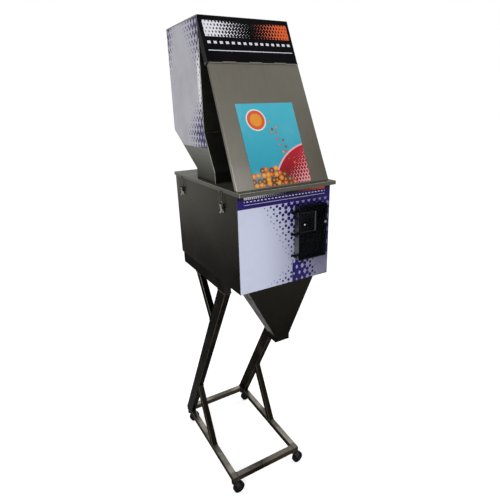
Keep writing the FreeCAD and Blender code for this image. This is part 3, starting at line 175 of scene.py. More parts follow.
class Graph:
    """Node tree of one material, with short calls for the nodes that the finishes use."""

    def __init__(self, name):
        self.material = bpy.data.materials.new(name)
        self.material.use_nodes = True
        self.tree = self.material.node_tree
        self.shader = self.tree.nodes["Principled BSDF"]
        self.place = self.node("ShaderNodeTexCoord").outputs["Object"]
        split = self.node("ShaderNodeSeparateXYZ")
        self.feed(split.inputs[0], self.place)
        self.x, self.y, self.z = split.outputs

    def node(self, kind, **settings):
        """New node with the given settings."""
        made = self.tree.nodes.new(kind)
        for key, value in settings.items():
            setattr(made, key, value)
        return made

    def feed(self, socket, value):
        """Links a socket to an input, or sets the input to a constant."""
        if isinstance(value, bpy.types.NodeSocket):
            self.tree.links.new(value, socket)
        else:
            socket.default_value = value

    def set(self, **values):
        """Feeds inputs of the shader; underscores in a name stand for spaces."""
        for key, value in values.items():
            self.feed(self.shader.inputs[key.replace("_", " ")], value)

    def math(self, operation, *values, clamp=False):
        """Result of a math node."""
        made = self.node("ShaderNodeMath", operation=operation, use_clamp=clamp)
        for socket, value in zip(made.inputs, values):
            self.feed(socket, value)
        return made.outputs[0]

    def times(self, first, second):
        """Product."""
        return self.math("MULTIPLY", first, second)

    def plus(self, first, second):
        """Sum."""
        return self.math("ADD", first, second)

    def minus(self, first, second):
        """Difference."""
        return self.math("SUBTRACT", first, second)

    def ramp(self, value, low, high, to_low=0.0, to_high=1.0):
        """Smooth step of a value between two limits."""
        made = self.node("ShaderNodeMapRange", interpolation_type="SMOOTHSTEP")
        for index, part in enumerate((value, low, high, to_low, to_high)):
            self.feed(made.inputs[index], part)
        return made.outputs[0]

    def line(self, base, *terms):
        """base plus the sum of slope times (value - start) over the terms (value, start, slope)."""
        total = None
        for value, start, slope in terms:
            part = self.times(self.minus(value, start), slope)
            total = part if total is None else self.plus(total, part)
        return self.plus(total, base)

    def mix(self, factor, first, second, blend="MIX"):
        """Mix of two colours, each a hex code or a socket."""
        made = self.node("ShaderNodeMix", data_type="RGBA", blend_type=blend)
        first, second = (linear(c) if isinstance(c, str) else c for c in (first, second))
        for index, value in ((0, factor), (6, first), (7, second)):
            self.feed(made.inputs[index], value)
        return made.outputs[2]

    def clouded(self, cloud, dark, light):
        """Colour that follows soft clouds of noise from dark to light."""
        return self.mix(self.ramp(cloud, 0.35, 0.68), dark, light)

    def noise(self, scale, detail=2.0, roughness=0.5):
        """Noise whose scale along each axis is given, in features per metre."""
        stretch = self.node("ShaderNodeMapping")
        self.feed(stretch.inputs["Vector"], self.place)
        self.feed(stretch.inputs["Scale"], scale if isinstance(scale, tuple) else (scale,) * 3)
        made = self.node("ShaderNodeTexNoise")
        self.feed(made.inputs["Vector"], stretch.outputs[0])
        self.feed(made.inputs["Scale"], 1.0)
        self.feed(made.inputs["Detail"], detail)
        self.feed(made.inputs["Roughness"], roughness)
        return made.outputs["Fac"]

    def mix_value(self, factor, first, second):
        """Value between two others."""
        return self.plus(first, self.times(factor, self.minus(second, first)))

    def normal(self):
        """Parts of the surface's normal at rest."""
        split = self.node("ShaderNodeSeparateXYZ")
        self.feed(split.inputs[0], self.node("ShaderNodeTexCoord").outputs["Normal"])
        return split.outputs

    def size(self, value):
        """Value without its sign."""
        return self.math("ABSOLUTE", value)

    def bump(self, height, strength, distance):
        """Relief on the shader's normal, from a height and its depth in metres."""
        made = self.node("ShaderNodeBump")
        self.feed(made.inputs["Strength"], strength)
        self.feed(made.inputs["Distance"], distance)
        self.feed(made.inputs["Height"], height)
        self.set(Normal=made.outputs[0])


def steel(name, dark, light, fine, shade=None, cloudy=0.5, rough=(0.26, 0.40), rim=0.45, fold_highlight=None,
          catch=None, warm=None, metal=0.95):
    """Stainless sheet or tube: brushed grain, clouds between two colours, smudged gloss and painted
    highlights on fold edges.

    fine is the grain's scale along each axis; shade, warm and catch place the painted light and shade, the
    painted brown reflections and the painted fold highlights.
    """
    g = Graph(name)
    cloud = g.noise(5.0, detail=3.0)
    grain = g.noise(fine, detail=2.0)
    smudge = g.noise(26.0, detail=4.0, roughness=0.62)
    # Tone from clouds, with the painted light and shade of shade() added when it is given
    if shade is None:
        tone = g.ramp(cloud, 0.32, 0.68)
    else:
        tone = g.math("ADD", shade(g), g.line(0.0, (cloud, 0.5, cloudy)), clamp=True)
    base = g.mix(tone, dark, light)
    # Painted highlight on rounded fold edges and corners, patchy with the smudges
    if fold_highlight:
        painted_highlight = g.times((catch or fold_highlight_mask)(g), g.ramp(smudge, 0.35, 0.6, 0.5, 1.0))
        base = g.mix(painted_highlight, base, fold_highlight)
    # Painted brown reflections in patches
    if warm:
        base = g.mix(warm(g), base, "#423930")
    fleck = g.ramp(grain, 0.25, 0.75, 0.92, 1.06)
    gloss = g.ramp(smudge, 0.35, 0.7, rough[0], rough[1])
    g.set(Base_Color=g.mix(1.0, base, fleck, blend="MULTIPLY"), Metallic=metal,
          Specular_Tint=(rim, rim, rim, 1.0), Roughness=g.plus(gloss, g.line(0.0, (grain, 0.5, 0.08))))
    g.bump(grain, 0.25, 0.05 * MM)
    return g.material


def fold_highlight_mask(g):
    """Where painted highlights go: 1 on rounded fold edges and tube corners, where the normal is far from
    every axis.
    """
    across, along, up = (g.size(part) for part in g.normal())
    most = g.math("MAXIMUM", g.math("MAXIMUM", across, along), up)
    return g.ramp(most, 0.78, 0.93, 1.0, 0.0)


def corner_highlight_mask(g):
    """Where painted highlights go: 1 on rounded corners beside the side walls, 0 on flat and slanted walls.
    """
    across = g.size(g.normal()[0])
    return g.times(g.ramp(across, 0.15, 0.4), g.ramp(across, 0.85, 0.96, 1.0, 0.0))


def side_shade(g):
    """Painted light over the cabinet sides: along the top and towards the back, fading out at the foot."""
    height = g.ramp(g.z, front_low.z + 0.01, front_high.z)
    return g.times(height, g.line(0.61, (g.y, front_low.y + 0.25, 1.35)))


def lid_shade(g):
    """Painted light on the cabinet lid: lighter at the back corner of its top and along its turned-down
    edges.
    """
    top = g.ramp(g.y, front_low.y + 0.02, front_high.y + 0.45, 0.36, 1.05)
    edge = g.line(0.60, (g.y, front_low.y + 0.25, 0.9))
    return g.mix_value(g.ramp(g.size(g.normal()[2]), 0.3, 0.8), edge, top)


def hopper_shade(g):
    """Painted light and shade on the hopper: light down to its bend, darker on the funnel, near black on its
    front wall.
    """
    height = g.ramp(g.z, hopper_low.z - 0.165, hopper_low.z + 0.02)
    # Painted shadow of the cover: the front wall is made near black
    front = g.ramp(g.normal()[1], -0.7, -0.3, 0.10, 1.0)
    return g.plus(g.times(height, front), 0.12)


def tube_shade(g):
    """Painted light on the stand's upward faces, in streaks and less on the front bar; the rest is near
    black.
    """
    up = g.ramp(g.normal()[2], 0.55, 0.95)
    streak = g.ramp(g.noise(7.5, detail=3.0), 0.40, 0.60, 0.38, 1.1)
    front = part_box("foot_rail_left")[0].y
    bar = g.ramp(g.y, front + 24 * MM, front + 36 * MM, 0.42, 1.0)
    return g.plus(g.times(g.times(up, streak), bar), 0.02)


def tube_brown_reflections(g):
    """Painted brown reflections in patches on the front and side faces of the stand's tubes."""
    across, along = g.normal()[:2]
    on_front = g.ramp(along, -0.6, -0.8)
    front = g.times(on_front, g.ramp(g.noise(4.5), 0.42, 0.62, 0.05, 0.5))
    on_side = g.ramp(g.size(across), 0.7, 0.9)
    side = g.times(on_side, g.ramp(g.noise(6.5), 0.45, 0.65, 0.08, 0.62))
    return g.math("MAXIMUM", front, side)


def cover_shade(g):
    """Painted light and shade on the sloping cover: brighter towards its foot at the left, darker at the
    right.
    """
    fall = g.ramp(g.z, hopper_high.z - 0.13, front_high.z, 0.0, 1.0)
    lean = g.times(g.times(g.x, -1.0), g.line(-0.3, (fall, 0.0, 2.3)))
    corner = g.times(g.ramp(fall, 0.85, 1.0), g.ramp(g.x, -0.02, -0.16))
    return g.plus(g.plus(lean, 0.27), g.times(corner, 0.35))


def box_shade(g):
    """Painted light and shade on the control box: dark at its top and light towards its foot."""
    return g.ramp(g.z, control_high.z - 0.02, control_low.z + 0.03, 0.0, 0.9)


def chute_shade(g):
    """Painted light and shade on the chute: side plates light along their rear edge, front and back plates
    near black.
    """
    low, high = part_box("discharge_chute")
    side = g.ramp(g.size(g.normal()[0]), 0.3, 0.6)
    rear = g.ramp(g.y, low.y + 0.055, high.y, 0.06, 1.15)
    on_side = g.times(side, g.times(rear, g.line(0.8, (g.z, high.z, 2.2))))
    return g.plus(on_side, g.line(0.08, (g.z, high.z, 0.4)))


def wrapped(g, value, start, period):
    """Signed distance to the nearest of evenly spaced places."""
    return g.math("WRAP", g.minus(value, start), period / 2, -period / 2)


def length(g, u, v):
    """Length of a flat vector."""
    return g.math("SQRT", g.plus(g.times(u, u), g.times(v, v)))


def dot_distance(g, across, up, start_across, start_up, size=1.0):
    """Distance to the nearest dot of the printed honeycomb."""
    pitch = DOT_PITCH * size
    period = DOT_PERIOD * size
    nearest = None
    for index in (0, 1):
        u = wrapped(g, across, start_across + index * pitch / 2, pitch)
        v = wrapped(g, up, start_up + index * period / 2, period)
        v = g.minus(g.size(v), DOT_PAIR * size)
        distance = length(g, u, v)
        nearest = distance if nearest is None else g.math("MINIMUM", nearest, distance)
    return nearest


def inked(g, distance, radius):
    """1 inside dots of the given radius, with dots under a millimetre left out."""
    solid = g.times(radius, g.ramp(radius, 0.7 * MM, 1.8 * MM))
    return g.ramp(g.minus(solid, distance), -0.25 * MM, 0.25 * MM)


def film_finish(g, level=0.12):
    """Laminate with the faint orange peel of a film laid on steel."""
    peel = g.noise(210.0, detail=2.0)
    wear = g.noise(9.0, detail=5.0, roughness=0.6)
    g.set(Roughness=g.ramp(wear, 0.3, 0.7, 0.26, 0.38), Specular_IOR_Level=level)
    g.bump(peel, 0.12, 0.1 * MM)
    return wear


def front_film_look():
    """White film with the indigo band along its top and the honeycomb of dots round the control box."""
    g = Graph("front_film_print")
    wear = film_finish(g)
    edge = control_low.x
    # Painted shade: the white film darkens from left to right
    paper = g.mix(g.ramp(g.x, -0.125, 0.165), FILM_WHITE, "#66647A")
    paper = g.mix(g.times(g.ramp(wear, 0.45, 0.75), 0.3), paper, "#AEB6CF")
    distance = dot_distance(g, g.x, g.z, DOT_ACROSS, DOT_UP)
    upper = g.line(8.8 * MM, (g.x, edge, 0.058), (g.z, BAND_BOTTOM, 0.031))
    upper = g.math("MINIMUM", upper, 7.4 * MM)
    lower = g.line(5.5 * MM, (g.x, edge - 11 * MM, 0.045), (g.z, front_low.z + 7 * MM, -0.05))
    offset = g.minus(g.x, edge)
    corner = g.plus(g.line(9.6 * MM, (g.x, edge, -0.045), (g.z, front_low.z + 47 * MM, -0.03)),
                    g.times(g.times(offset, offset), -0.4))
    in_corner = g.times(g.math("GREATER_THAN", g.x, edge - 6.5 * MM),
                        g.math("LESS_THAN", g.z, control_low.z - 3 * MM))
    left = g.times(g.math("MAXIMUM", upper, lower), g.minus(1.0, in_corner))
    radius = g.plus(left, g.times(g.math("MAXIMUM", corner, 2.6 * MM), in_corner))
    ink = g.mix(g.ramp(radius, 2.0 * MM, 4.0 * MM), "#6D6A9C", INK)
    body = g.mix(inked(g, distance, radius), paper, ink)
    marks, tint = motif_rows(g, g.x, g.minus(front_high.z, g.z), 0.36, 0.62)
    # Painted shade: the band's ink darkens from left to right, like the white film
    band_ink = g.mix(g.ramp(g.x, -0.15, 0.1), "#2C1A6E", "#170848")
    band_ink = g.mix(g.ramp(wear, 0.35, 0.7), band_ink, "#1D0C58")
    # Painted shadow of the lid's edge along the top of the band
    painted_lid_shadow = g.ramp(g.z, front_high.z - 26 * MM, front_high.z - 21 * MM)
    band_ink = g.mix(painted_lid_shadow, band_ink, "#08060F")
    g.set(Base_Color=g.mix(g.math("GREATER_THAN", g.z, BAND_BOTTOM), body, g.mix(marks, band_ink, tint)))
    return g.material


def motif_rows(g, across, down, size, grain):
    """Halftone in white from the left and orange from the right, over a row of dashes and a thin line.

    size scales the rows' heights, and grain the dots and dashes.
    """
    distance = dot_distance(g, across, down, 0.0, 40 * size * MM, size=0.5 * grain)
    white = g.line(5.2 * grain * MM, (across, -MOTIF_REACH, -0.030 * grain))
    orange = g.line(5.0 * grain * MM, (across, MOTIF_REACH, 0.034 * grain))
    radius = g.math("MAXIMUM", white, orange)
    dots = g.ramp(g.minus(radius, distance), -0.2 * MM, 0.2 * MM)
    dots = g.times(g.times(dots, g.math("GREATER_THAN", radius, 0.4 * MM)),
                   between(g, down, 16 * size * MM, 66 * size * MM))
    dash = g.math("LESS_THAN", g.math("PINGPONG", g.math("DIVIDE", across, 20 * grain * MM), 0.5), 0.26)
    dash = g.times(dash, between(g, down, 80 * size * MM, 88 * size * MM))
    thin = between(g, down, 108 * size * MM, 110 * size * MM + 0.4 * MM)
    marks = g.math("MAXIMUM", dots, g.math("MAXIMUM", dash, thin))
    inside = g.math("LESS_THAN", g.size(across), MOTIF_REACH - 2 * MM)
    warm = g.times(dots, g.math("GREATER_THAN", orange, white))
    return g.times(marks, inside), g.mix(warm, "#CFCED6", "#D0582B")


def between(g, value, low, high):
    """1 between two limits, 0 outside."""
    return g.times(g.math("GREATER_THAN", value, low), g.math("LESS_THAN", value, high))


def hopper_film_look():
    """Lilac-white film of the hopper sides, with dots at the front top, the back top and the front bend."""
    g = Graph("hopper_film_print")
    wear = film_finish(g)
    paper = g.mix(g.ramp(wear, 0.35, 0.7), "#AAA9B2", "#9F9EA6")
    strip_height = g.times(g.ramp(g.z, hopper_low.z + 0.06, hopper_low.z + 0.11),
                           g.ramp(g.z, hopper_low.z + 0.25, hopper_low.z + 0.20))
    strip = g.times(g.ramp(g.y, hopper_low.y + 30 * MM, hopper_low.y + 12 * MM), strip_height)
    paper = g.mix(strip, paper, "#DCD9DE")
    distance = dot_distance(g, g.y, g.z, hopper_low.y + 24 * MM, hopper_high.z - 15 * MM)
    top = g.line(9.6 * MM, (g.y, hopper_low.y, -0.055), (g.z, hopper_high.z, 0.040))
    from_bend = g.size(g.minus(g.z, hopper_low.z - 8 * MM))
    bend = g.minus(g.line(10.0 * MM, (g.y, hopper_low.y, -0.055)), g.times(from_bend, 0.055))
    back = g.line(9.0 * MM, (g.y, hopper_high.y - 6 * MM, 0.09), (g.z, hopper_high.z, 0.032))
    radius = g.math("MAXIMUM", g.math("MAXIMUM", top, bend), back)
    ink = g.mix(g.ramp(radius, 2.0 * MM, 6.0 * MM), "#57527E", "#261C58")
    g.set(Base_Color=g.mix(inked(g, distance, radius), paper, ink))
    return g.material


def header_film_look():
    """Gloss black film with the row motif; the hinge knuckles below it are bare steel."""
    g = Graph("header_film_print")
    wear = film_finish(g, 0.03)
    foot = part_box("front_cover")[1].z - 2.5 * MM
    down = g.times(g.minus(hopper_high.z, g.z), STEEP)
    marks, tint = motif_rows(g, g.x, down, 1.0, 1.0)
    facing = g.math("LESS_THAN", g.normal()[1], -0.8)
    ground = g.mix(g.ramp(wear, 0.35, 0.7), "#030305", "#08080B")
    print_look = g.mix(g.times(marks, facing), ground, tint)
    bare = g.math("LESS_THAN", g.z, foot)
    # Painted shade: the knuckles' sideways-facing ends are darker than their rounded faces
    knuckle = g.mix(g.ramp(g.size(g.normal()[0]), 0.3, 0.7), "#7A786F", "#26251F")
    g.set(Base_Color=g.mix(bare, print_look, knuckle), Metallic=g.times(bare, 0.9))
    return g.material


def disc(g, across, up, centre, radius):
    """1 inside a disc, 0 outside; its centre and radius are in millimetres."""
    u = g.minus(across, centre[0] * MM)
    v = g.minus(up, centre[1] * MM)
    return g.ramp(length(g, u, v), (radius - 0.3) * MM, (radius + 0.3) * MM, 1.0, 0.0)


def picture_look():
    """Generic print: cyan ground, red field at the lower right, heap of round grains, and a ringed disc."""
    g = Graph("picture_print")
    wear = film_finish(g)
    u = g.minus(g.x, picture_low.x)
    v = g.times(g.minus(g.z, picture_low.z), STEEP)
    look = g.mix(g.ramp(v, 0.0, 0.26), "#2C8FA5", "#44A6BA")
    corner = (236, -46)
    field = disc(g, u, v, corner, 172)
    look = g.mix(field, look, "#D9A3A6")
    deep = g.mix(g.ramp(v, 0.0, 0.12), "#6E101C", "#A81A2A")
    look = g.mix(disc(g, u, v, corner, 167), look, deep)
    fade = g.line(0.6 * MM, (u, 0.08, 0.032), (v, 0.0, -0.030))
    spots = g.times(inked(g, dot_distance(g, u, v, 0.0, 0.0, size=0.5), fade), field)
    look = g.mix(spots, look, "#D98F92")
    for radius, colour in ((34, "#CFD3D6"), (30, "#C9552A"), (20, "#D58A34")):
        look = g.mix(disc(g, u, v, (58, 205), radius), look, colour)

    def in_stream(across, up):
        """Positive in a slanting stream of falling grains."""
        return g.minus(15 * MM, g.size(g.line(0.0, (across, 0.125, 1.0), (up, 0.14, 0.42))))

    def in_heap(across, up):
        """Positive under the curved top of the heap."""
        fall = g.times(g.math("POWER", g.minus(across, 0.062), 2.0), 6.5)
        return g.minus(g.minus(58 * MM, up), fall)

    look = grains(g, look, u, v, 52.0, 0.22, in_stream, (0.05, 0.21))
    look = grains(g, look, u, v, 64.0, 0.60, in_heap, (-1.0, 1.0))
    look = g.mix(g.times(g.ramp(wear, 0.5, 0.75), 0.15), look, "#9FB9C0")
    g.set(Base_Color=look)
    return g.material


def grains(g, look, u, v, scale, radius, inside, span):
    """Round grains over the part of a print where inside() is positive at a grain's middle.

    scale is grains per metre, radius is a share of a grain's cell, and span limits the middles' height.
    """
    spot = g.node("ShaderNodeCombineXYZ")
    g.feed(spot.inputs[0], u)
    g.feed(spot.inputs[1], v)
    cells = g.node("ShaderNodeTexVoronoi", voronoi_dimensions="2D", feature="F1")
    g.feed(cells.inputs["Vector"], spot.outputs[0])
    g.feed(cells.inputs["Scale"], scale)
    g.feed(cells.inputs["Randomness"], 0.6)
    middle = g.node("ShaderNodeSeparateXYZ")
    g.feed(middle.inputs[0], cells.outputs["Position"])
    chance = g.node("ShaderNodeSeparateXYZ")
    g.feed(chance.inputs[0], cells.outputs["Color"])
    kept = g.math("GREATER_THAN", inside(middle.outputs[0], middle.outputs[1]), 0.0)
    kept = g.times(kept, between(g, middle.outputs[1], *span))
    distance = cells.outputs["Distance"]
    tone = g.mix(g.ramp(chance.outputs[0], 0.35, 0.65), "#BB4E18", "#D08A30")
    tone = g.mix(g.math("LESS_THAN", chance.outputs[1], 0.3), tone, "#6B3A17")
    tone = g.mix(g.ramp(distance, 0.0, radius * 0.6, 0.45, 0.0), tone, "#EFCB86")
    rim = g.mix(g.ramp(distance, radius * 0.75, radius), tone, "#5E2A14")
    return g.mix(g.times(g.math("LESS_THAN", distance, radius), kept), look, rim)


def plastic(name, dark, light, rough=(0.35, 0.5), pebble=900.0, strength=0.2, level=0.15):
    """Moulded plastic or paint with a fine pebbled skin."""
    g = Graph(name)
    cloud = g.noise(14.0, detail=4.0)
    g.set(Base_Color=g.clouded(cloud, dark, light), Specular_IOR_Level=level,
          Roughness=g.ramp(cloud, 0.3, 0.7, rough[0], rough[1]))
    g.bump(g.noise(pebble, detail=2.0), strength, 0.05 * MM)
    return g.material


def bright_metal(name, dark, light, rough=(0.10, 0.22)):
    """Plated or polished metal with fine wear."""
    g = Graph(name)
    cloud = g.noise(60.0, detail=4.0)
    g.set(Base_Color=g.clouded(cloud, dark, light), Metallic=1.0,
          Roughness=g.ramp(cloud, 0.3, 0.7, rough[0], rough[1]))
    g.bump(g.noise(1400.0), 0.08, 0.03 * MM)
    return g.material


def hinge_look():
    """Hinges of the smoked door: black leaves and bare steel arms."""
    g = Graph("hinge_finish")
    cloud = g.noise(60.0, detail=4.0)
    arm = g.math("GREATER_THAN", g.x, control_low.x - 4 * MM)
    bare = g.clouded(cloud, "#4C4C4C", "#6E6E6D")
    black = g.clouded(cloud, "#070708", "#121213")
    g.set(Base_Color=g.mix(arm, black, bare), Metallic=g.times(arm, 0.9),
          Specular_IOR_Level=0.15, Roughness=g.ramp(cloud, 0.3, 0.7, 0.24, 0.4))
    g.bump(g.noise(1400.0), 0.08, 0.03 * MM)
    return g.material


def rubber_look():
    """Black tread with dust in its pores and scuffs."""
    g = Graph("tread_rubber")
    dust = g.noise(120.0, detail=5.0, roughness=0.65)
    g.set(Base_Color=g.mix(g.ramp(dust, 0.45, 0.75), "#040405", "#0D0D0E"),
          Roughness=g.ramp(dust, 0.3, 0.7, 0.5, 0.75), Specular_IOR_Level=0.06)
    g.bump(dust, 0.3, 0.2 * MM)
    return g.material


def smoked_look():
    """Smoked acrylic door, nearly black and a little cloudy, that lets the display show faintly."""
    g = Graph("smoked_acrylic")
    cloud = g.noise(12.0, detail=3.0)
    g.set(Base_Color=g.clouded(cloud, "#08090B", "#121417"), Alpha=0.62,
          Roughness=g.ramp(cloud, 0.3, 0.7, 0.04, 0.08), Specular_IOR_Level=0.0)
    return g.material


def weld_look():
    """Ripples of a polished weld with straw and blue heat tint."""
    g = Graph("weld_bead")
    cloud = g.noise(90.0, detail=3.0)
    tint = g.mix(g.ramp(g.noise(24.0), 0.4, 0.65), "#2E2A23", "#1F1B15")
    g.set(Base_Color=g.mix(g.ramp(cloud, 0.35, 0.7), tint, "#5A564E"), Metallic=0.9,
          Roughness=g.ramp(cloud, 0.3, 0.7, 0.28, 0.46))
    g.bump(cloud, 0.3, 0.1 * MM)
    return g.material


def lamp_look():
    """Lit lens of the indicator behind the door."""
    g = Graph("indicator_lens")
    spread = g.noise(400.0)
    colour = g.mix(g.ramp(spread, 0.3, 0.7), "#E4E6E8", "#FFFFFF")
    g.set(Base_Color=colour, Emission_Color=colour, Emission_Strength=5.0, Roughness=0.3)
    return g.material


def display_corners():
    """Low and high corner of the display's glass."""
    low = Vector((control_low.x + DISPLAY_ACROSS, 0, control_low.z + DISPLAY_UP))
    return low, low + Vector((DISPLAY_WIDTH, 0, DISPLAY_HEIGHT))


def display_look():
    """Faintly lit display window with a lighter strip at its right edge."""
    g = Graph("display_window")
    low, high = display_corners()
    cloud = g.noise(30.0, detail=3.0)
    base = g.clouded(cloud, "#0A0C10", "#141820")
    strip = between(g, g.x, high.x - 6 * MM, high.x - 2 * MM)
    inner = g.times(between(g, g.x, low.x + 2 * MM, high.x - 7 * MM),
                    between(g, g.z, low.z + 2 * MM, high.z - 2 * MM))
    glow = g.mix(strip, g.mix(inner, "#5C6065", "#1B1D20"), "#9A9EA3")
    g.set(Base_Color=g.mix(strip, base, "#8C9095"), Roughness=g.ramp(cloud, 0.3, 0.7, 0.08, 0.16),
          Emission_Color=glow, Emission_Strength=1.0, Specular_IOR_Level=0.2)
    return g.material


def piece(name, mesh_maker, body, material, smooth=False):
    """New object from a function that fills a bmesh, riding a body."""
    bm = bmesh.new()
    mesh_maker(bm)
    bmesh.ops.recalc_face_normals(bm, faces=bm.faces)
    mesh = bpy.data.meshes.new(name)
    bm.to_mesh(mesh)
    bm.free()
    mesh.materials.append(material)
    if smooth:
        mesh.polygons.foreach_set("use_smooth", [True] * len(mesh.polygons))
    made = bpy.data.objects.new(name, mesh)
    bpy.context.scene.collection.objects.link(made)
    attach(made, body)


def plate(bm, corners, normal, thickness, bevel=0.08 * MM):
    """Thin sheet over a flat outline, standing proud along its normal, with softened edges."""
    low = [bm.verts.new(Vector(c)) for c in corners]
    high = [bm.verts.new(Vector(c) + Vector(normal) * thickness) for c in corners]
    count = len(corners)
    faces = [bm.faces.new(high), bm.faces.new(low[::-1])]
    for i in range(count):
        faces.append(bm.faces.new((low[i], low[(i + 1) % count], high[(i + 1) % count], high[i])))
    rim = [e for e in bm.edges if all(v in high for v in e.verts)]
    bmesh.ops.bevel(bm, geom=rim, offset=bevel, segments=2, affect="EDGES", profile=0.5)


def rounded(corners, radius):
    """The outline with its corners rounded; corners are points in one plane."""
    steps = 5
    out = []
    count = len(corners)
    for i in range(count):
        here = Vector(corners[i])
        before = (Vector(corners[i - 1]) - here).normalized()
        after = (Vector(corners[(i + 1) % count]) - here).normalized()
        half = before.angle(after) / 2
        reach = radius / math.tan(half)
        centre = here + (before + after).normalized() * radius / math.sin(half)
        start = here + before * reach - centre
        end = here + after * reach - centre
        turn = start.rotation_difference(end)
        for k in range(steps + 1):
            part = Quaternion().slerp(turn, k / steps)
            out.append(tuple(centre + part @ start))
    return out


def aligned(normal):
    """Rotation that brings +Z to a normal."""
    return Vector((0, 0, 1)).rotation_difference(Vector(normal)).to_matrix().to_4x4()


def lathe(bm, profile, radius, height, place, normal, segments=20):
    """Turned body round a normal at a place, from a profile in shares of its radius and height."""
    matrix = Matrix.Translation(Vector(place)) @ aligned(normal)
    rings = []
    for across, up in profile:
        ring = []
        for k in range(segments):
            angle = 2 * math.pi * k / segments
            spot = (radius * across * math.cos(angle), radius * across * math.sin(angle), height * up)
            ring.append(bm.verts.new(matrix @ Vector(spot)))
        rings.append(ring)
    for low, high in zip(rings, rings[1:]):
        for k in range(segments):
            bm.faces.new((low[k], low[(k + 1) % segments], high[(k + 1) % segments], high[k]))
    bm.faces.new(rings[0][::-1])
    bm.faces.new(rings[-1])


def socket_screw(bm, place, normal, radius=SCREW_RADIUS, height=SCREW_HEIGHT):
    """Button-head screw with a hexagon socket."""
    lathe(bm, SCREW_HEAD, radius, height, place, normal, segments=18)
    top = Vector(place) + Vector(normal) * height
    lathe(bm, ((0.42, -height * 0.15), (0.42, 0.02 * MM)), radius, 1, top, normal, segments=6)


def hex_nut(bm, place, normal, radius, height):
    """Hexagon nut with a washer under it and a stud end above."""
    lathe(bm, WASHER, radius, height, place, normal, segments=24)
    seat = Vector(place) + Vector(normal) * height * WASHER[-1][1]
    lathe(bm, NUT, radius, height, seat, normal, segments=6)
    lathe(bm, STUD_END, radius, height, seat, normal, segments=16)


def rod_between(bm, start, end, radius):
    """Plain round bar between two points."""
    run = Vector(end) - Vector(start)
    lathe(bm, ROD, radius, run.length, start, run.normalized(), segments=16)


def bead(bm, start, end):
    """Row of overlapping flattened drops along a welded seam."""
    start, end = Vector(start), Vector(end)
    count = max(2, round((end - start).length / BEAD_PITCH))
    shape = aligned((end - start).normalized()) @ Matrix.Diagonal((1.0, 1.0, BEAD_FLATTENED, 1.0))
    for k in range(count + 1):
        spot = start.lerp(end, k / count)
        size = BEAD_RADIUS * (1 + BEAD_VARIES * random.uniform(-1, 1))
        bmesh.ops.create_icosphere(bm, subdivisions=1, radius=size, matrix=Matrix.Translation(spot) @ shape)


def corners_of(name):
    """Places of a node's mesh corners."""
    return [v.co for v in frame["nodes"][name].data.vertices]


def outline_at(name, level):
    """Lowest and highest Y of a node's corners at one height."""
    ys = [p.y for p in corners_of(name) if abs(p.z - level) < 0.6 * MM]
    return min(ys), max(ys)


def stand_welds():
    """Weld seams where the tubes of the stand meet."""
    random.seed(7)

    def fill(bm):
        foot_low, foot_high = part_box("foot_rail_left")
        rail_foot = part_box("top_rail_left")[0].z
        width = foot_high.x - foot_low.x
        for sign in (-1, 1):
            outer = sign * abs(foot_low.x)
            inner = outer - sign * width
            for name, level in (("leg_left", foot_high.z), ("leg_left", rail_foot),
                                ("lower_braces", foot_high.z), ("upper_braces", rail_foot)):
                y0, y1 = outline_at(name, level)
                for x in (outer, inner):
                    bead(bm, (x, y0, level), (x, y1, level))
                for y in (y0, y1):
                    bead(bm, (inner, y, level), (outer, y, level))
            for y in (foot_low.y, foot_high.y):
                step = width if y == foot_low.y else -width
                bead(bm, (inner, y + step, foot_low.z), (inner, y + step, foot_high.z))
                bead(bm, (inner, y, foot_high.z), (inner, y + step, foot_high.z))
                bead(bm, (inner, y, foot_low.z), (inner, y, foot_high.z))
            for name, upper in (("lower_braces", True), ("upper_braces", False)):
                y0, z0, y1, z1 = brace_meets_leg(name, upper)
                bead(bm, (inner, y0, z0), (outer, y0, z0))
                bead(bm, (inner, y1, z1), (outer, y1, z1))
                for x in (outer, inner):
                    bead(bm, (x, y0, z0), (x, y1, z1))
    piece("stand_welds", fill, "machine", looks["weld"], smooth=True)


def hopper_seams():
    """Weld seams across the hopper's front and back walls, where the box meets the funnel."""
    left = hopper_low.x + SEAM_SHORT
    right = hopper_high.x - SEAM_SHORT

    def fill(bm):
        for y in funnel_corners()[:2]:
            bead(bm, (left, y, hopper_low.z), (right, y, hopper_low.z))
    piece("hopper_seams", fill, "machine", looks["weld"], smooth=True)


def brace_meets_leg(name, upper):
    """Two corners (y, z, y, z) of a brace's mitred end on the leg, its upper or its lower end."""
    corners = {(round(p.y, 5), round(p.z, 5)) for p in corners_of(name)}
    ends = sorted(corners, key=lambda c: c[1], reverse=upper)
    other_end = ends[-1][1]
    ends = [c for c in ends if c[1] != other_end]
    first = ends[0]
    return first + max(ends[1:4], key=lambda c: (Vector(c) - Vector(first)).length)


def funnel_corners():
    """Y of the funnel's front and back at the bend, then at the neck, and the level of the neck."""
    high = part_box("hopper_funnel")[1]
    points = [p for p in corners_of("hopper_funnel") if abs(p.x - high.x) < 0.2 * MM]
    neck = max(p.z for p in points if p.z < high.z - 20 * MM)
    top = [p.y for p in points if p.z > high.z - 0.2 * MM]
    foot = [p.y for p in points if abs(p.z - neck) < 2 * MM]
    return min(top), max(top), min(foot), max(foot), neck


def inset(points, gap):
    """Outline of (y, z) points moved inwards by a gap; the points run clockwise."""
    out = []
    count = len(points)
    for i in range(count):
        before, here, after = (Vector(points[(i + k) % count]) for k in (-1, 0, 1))
        first = (here - before).normalized()
        second = (after - here).normalized()
        first_in = Vector((first.y, -first.x))
        second_in = Vector((second.y, -second.x))
        out.append(here + (first_in + second_in) * gap / (1 + first_in.dot(second_in)))
    return out


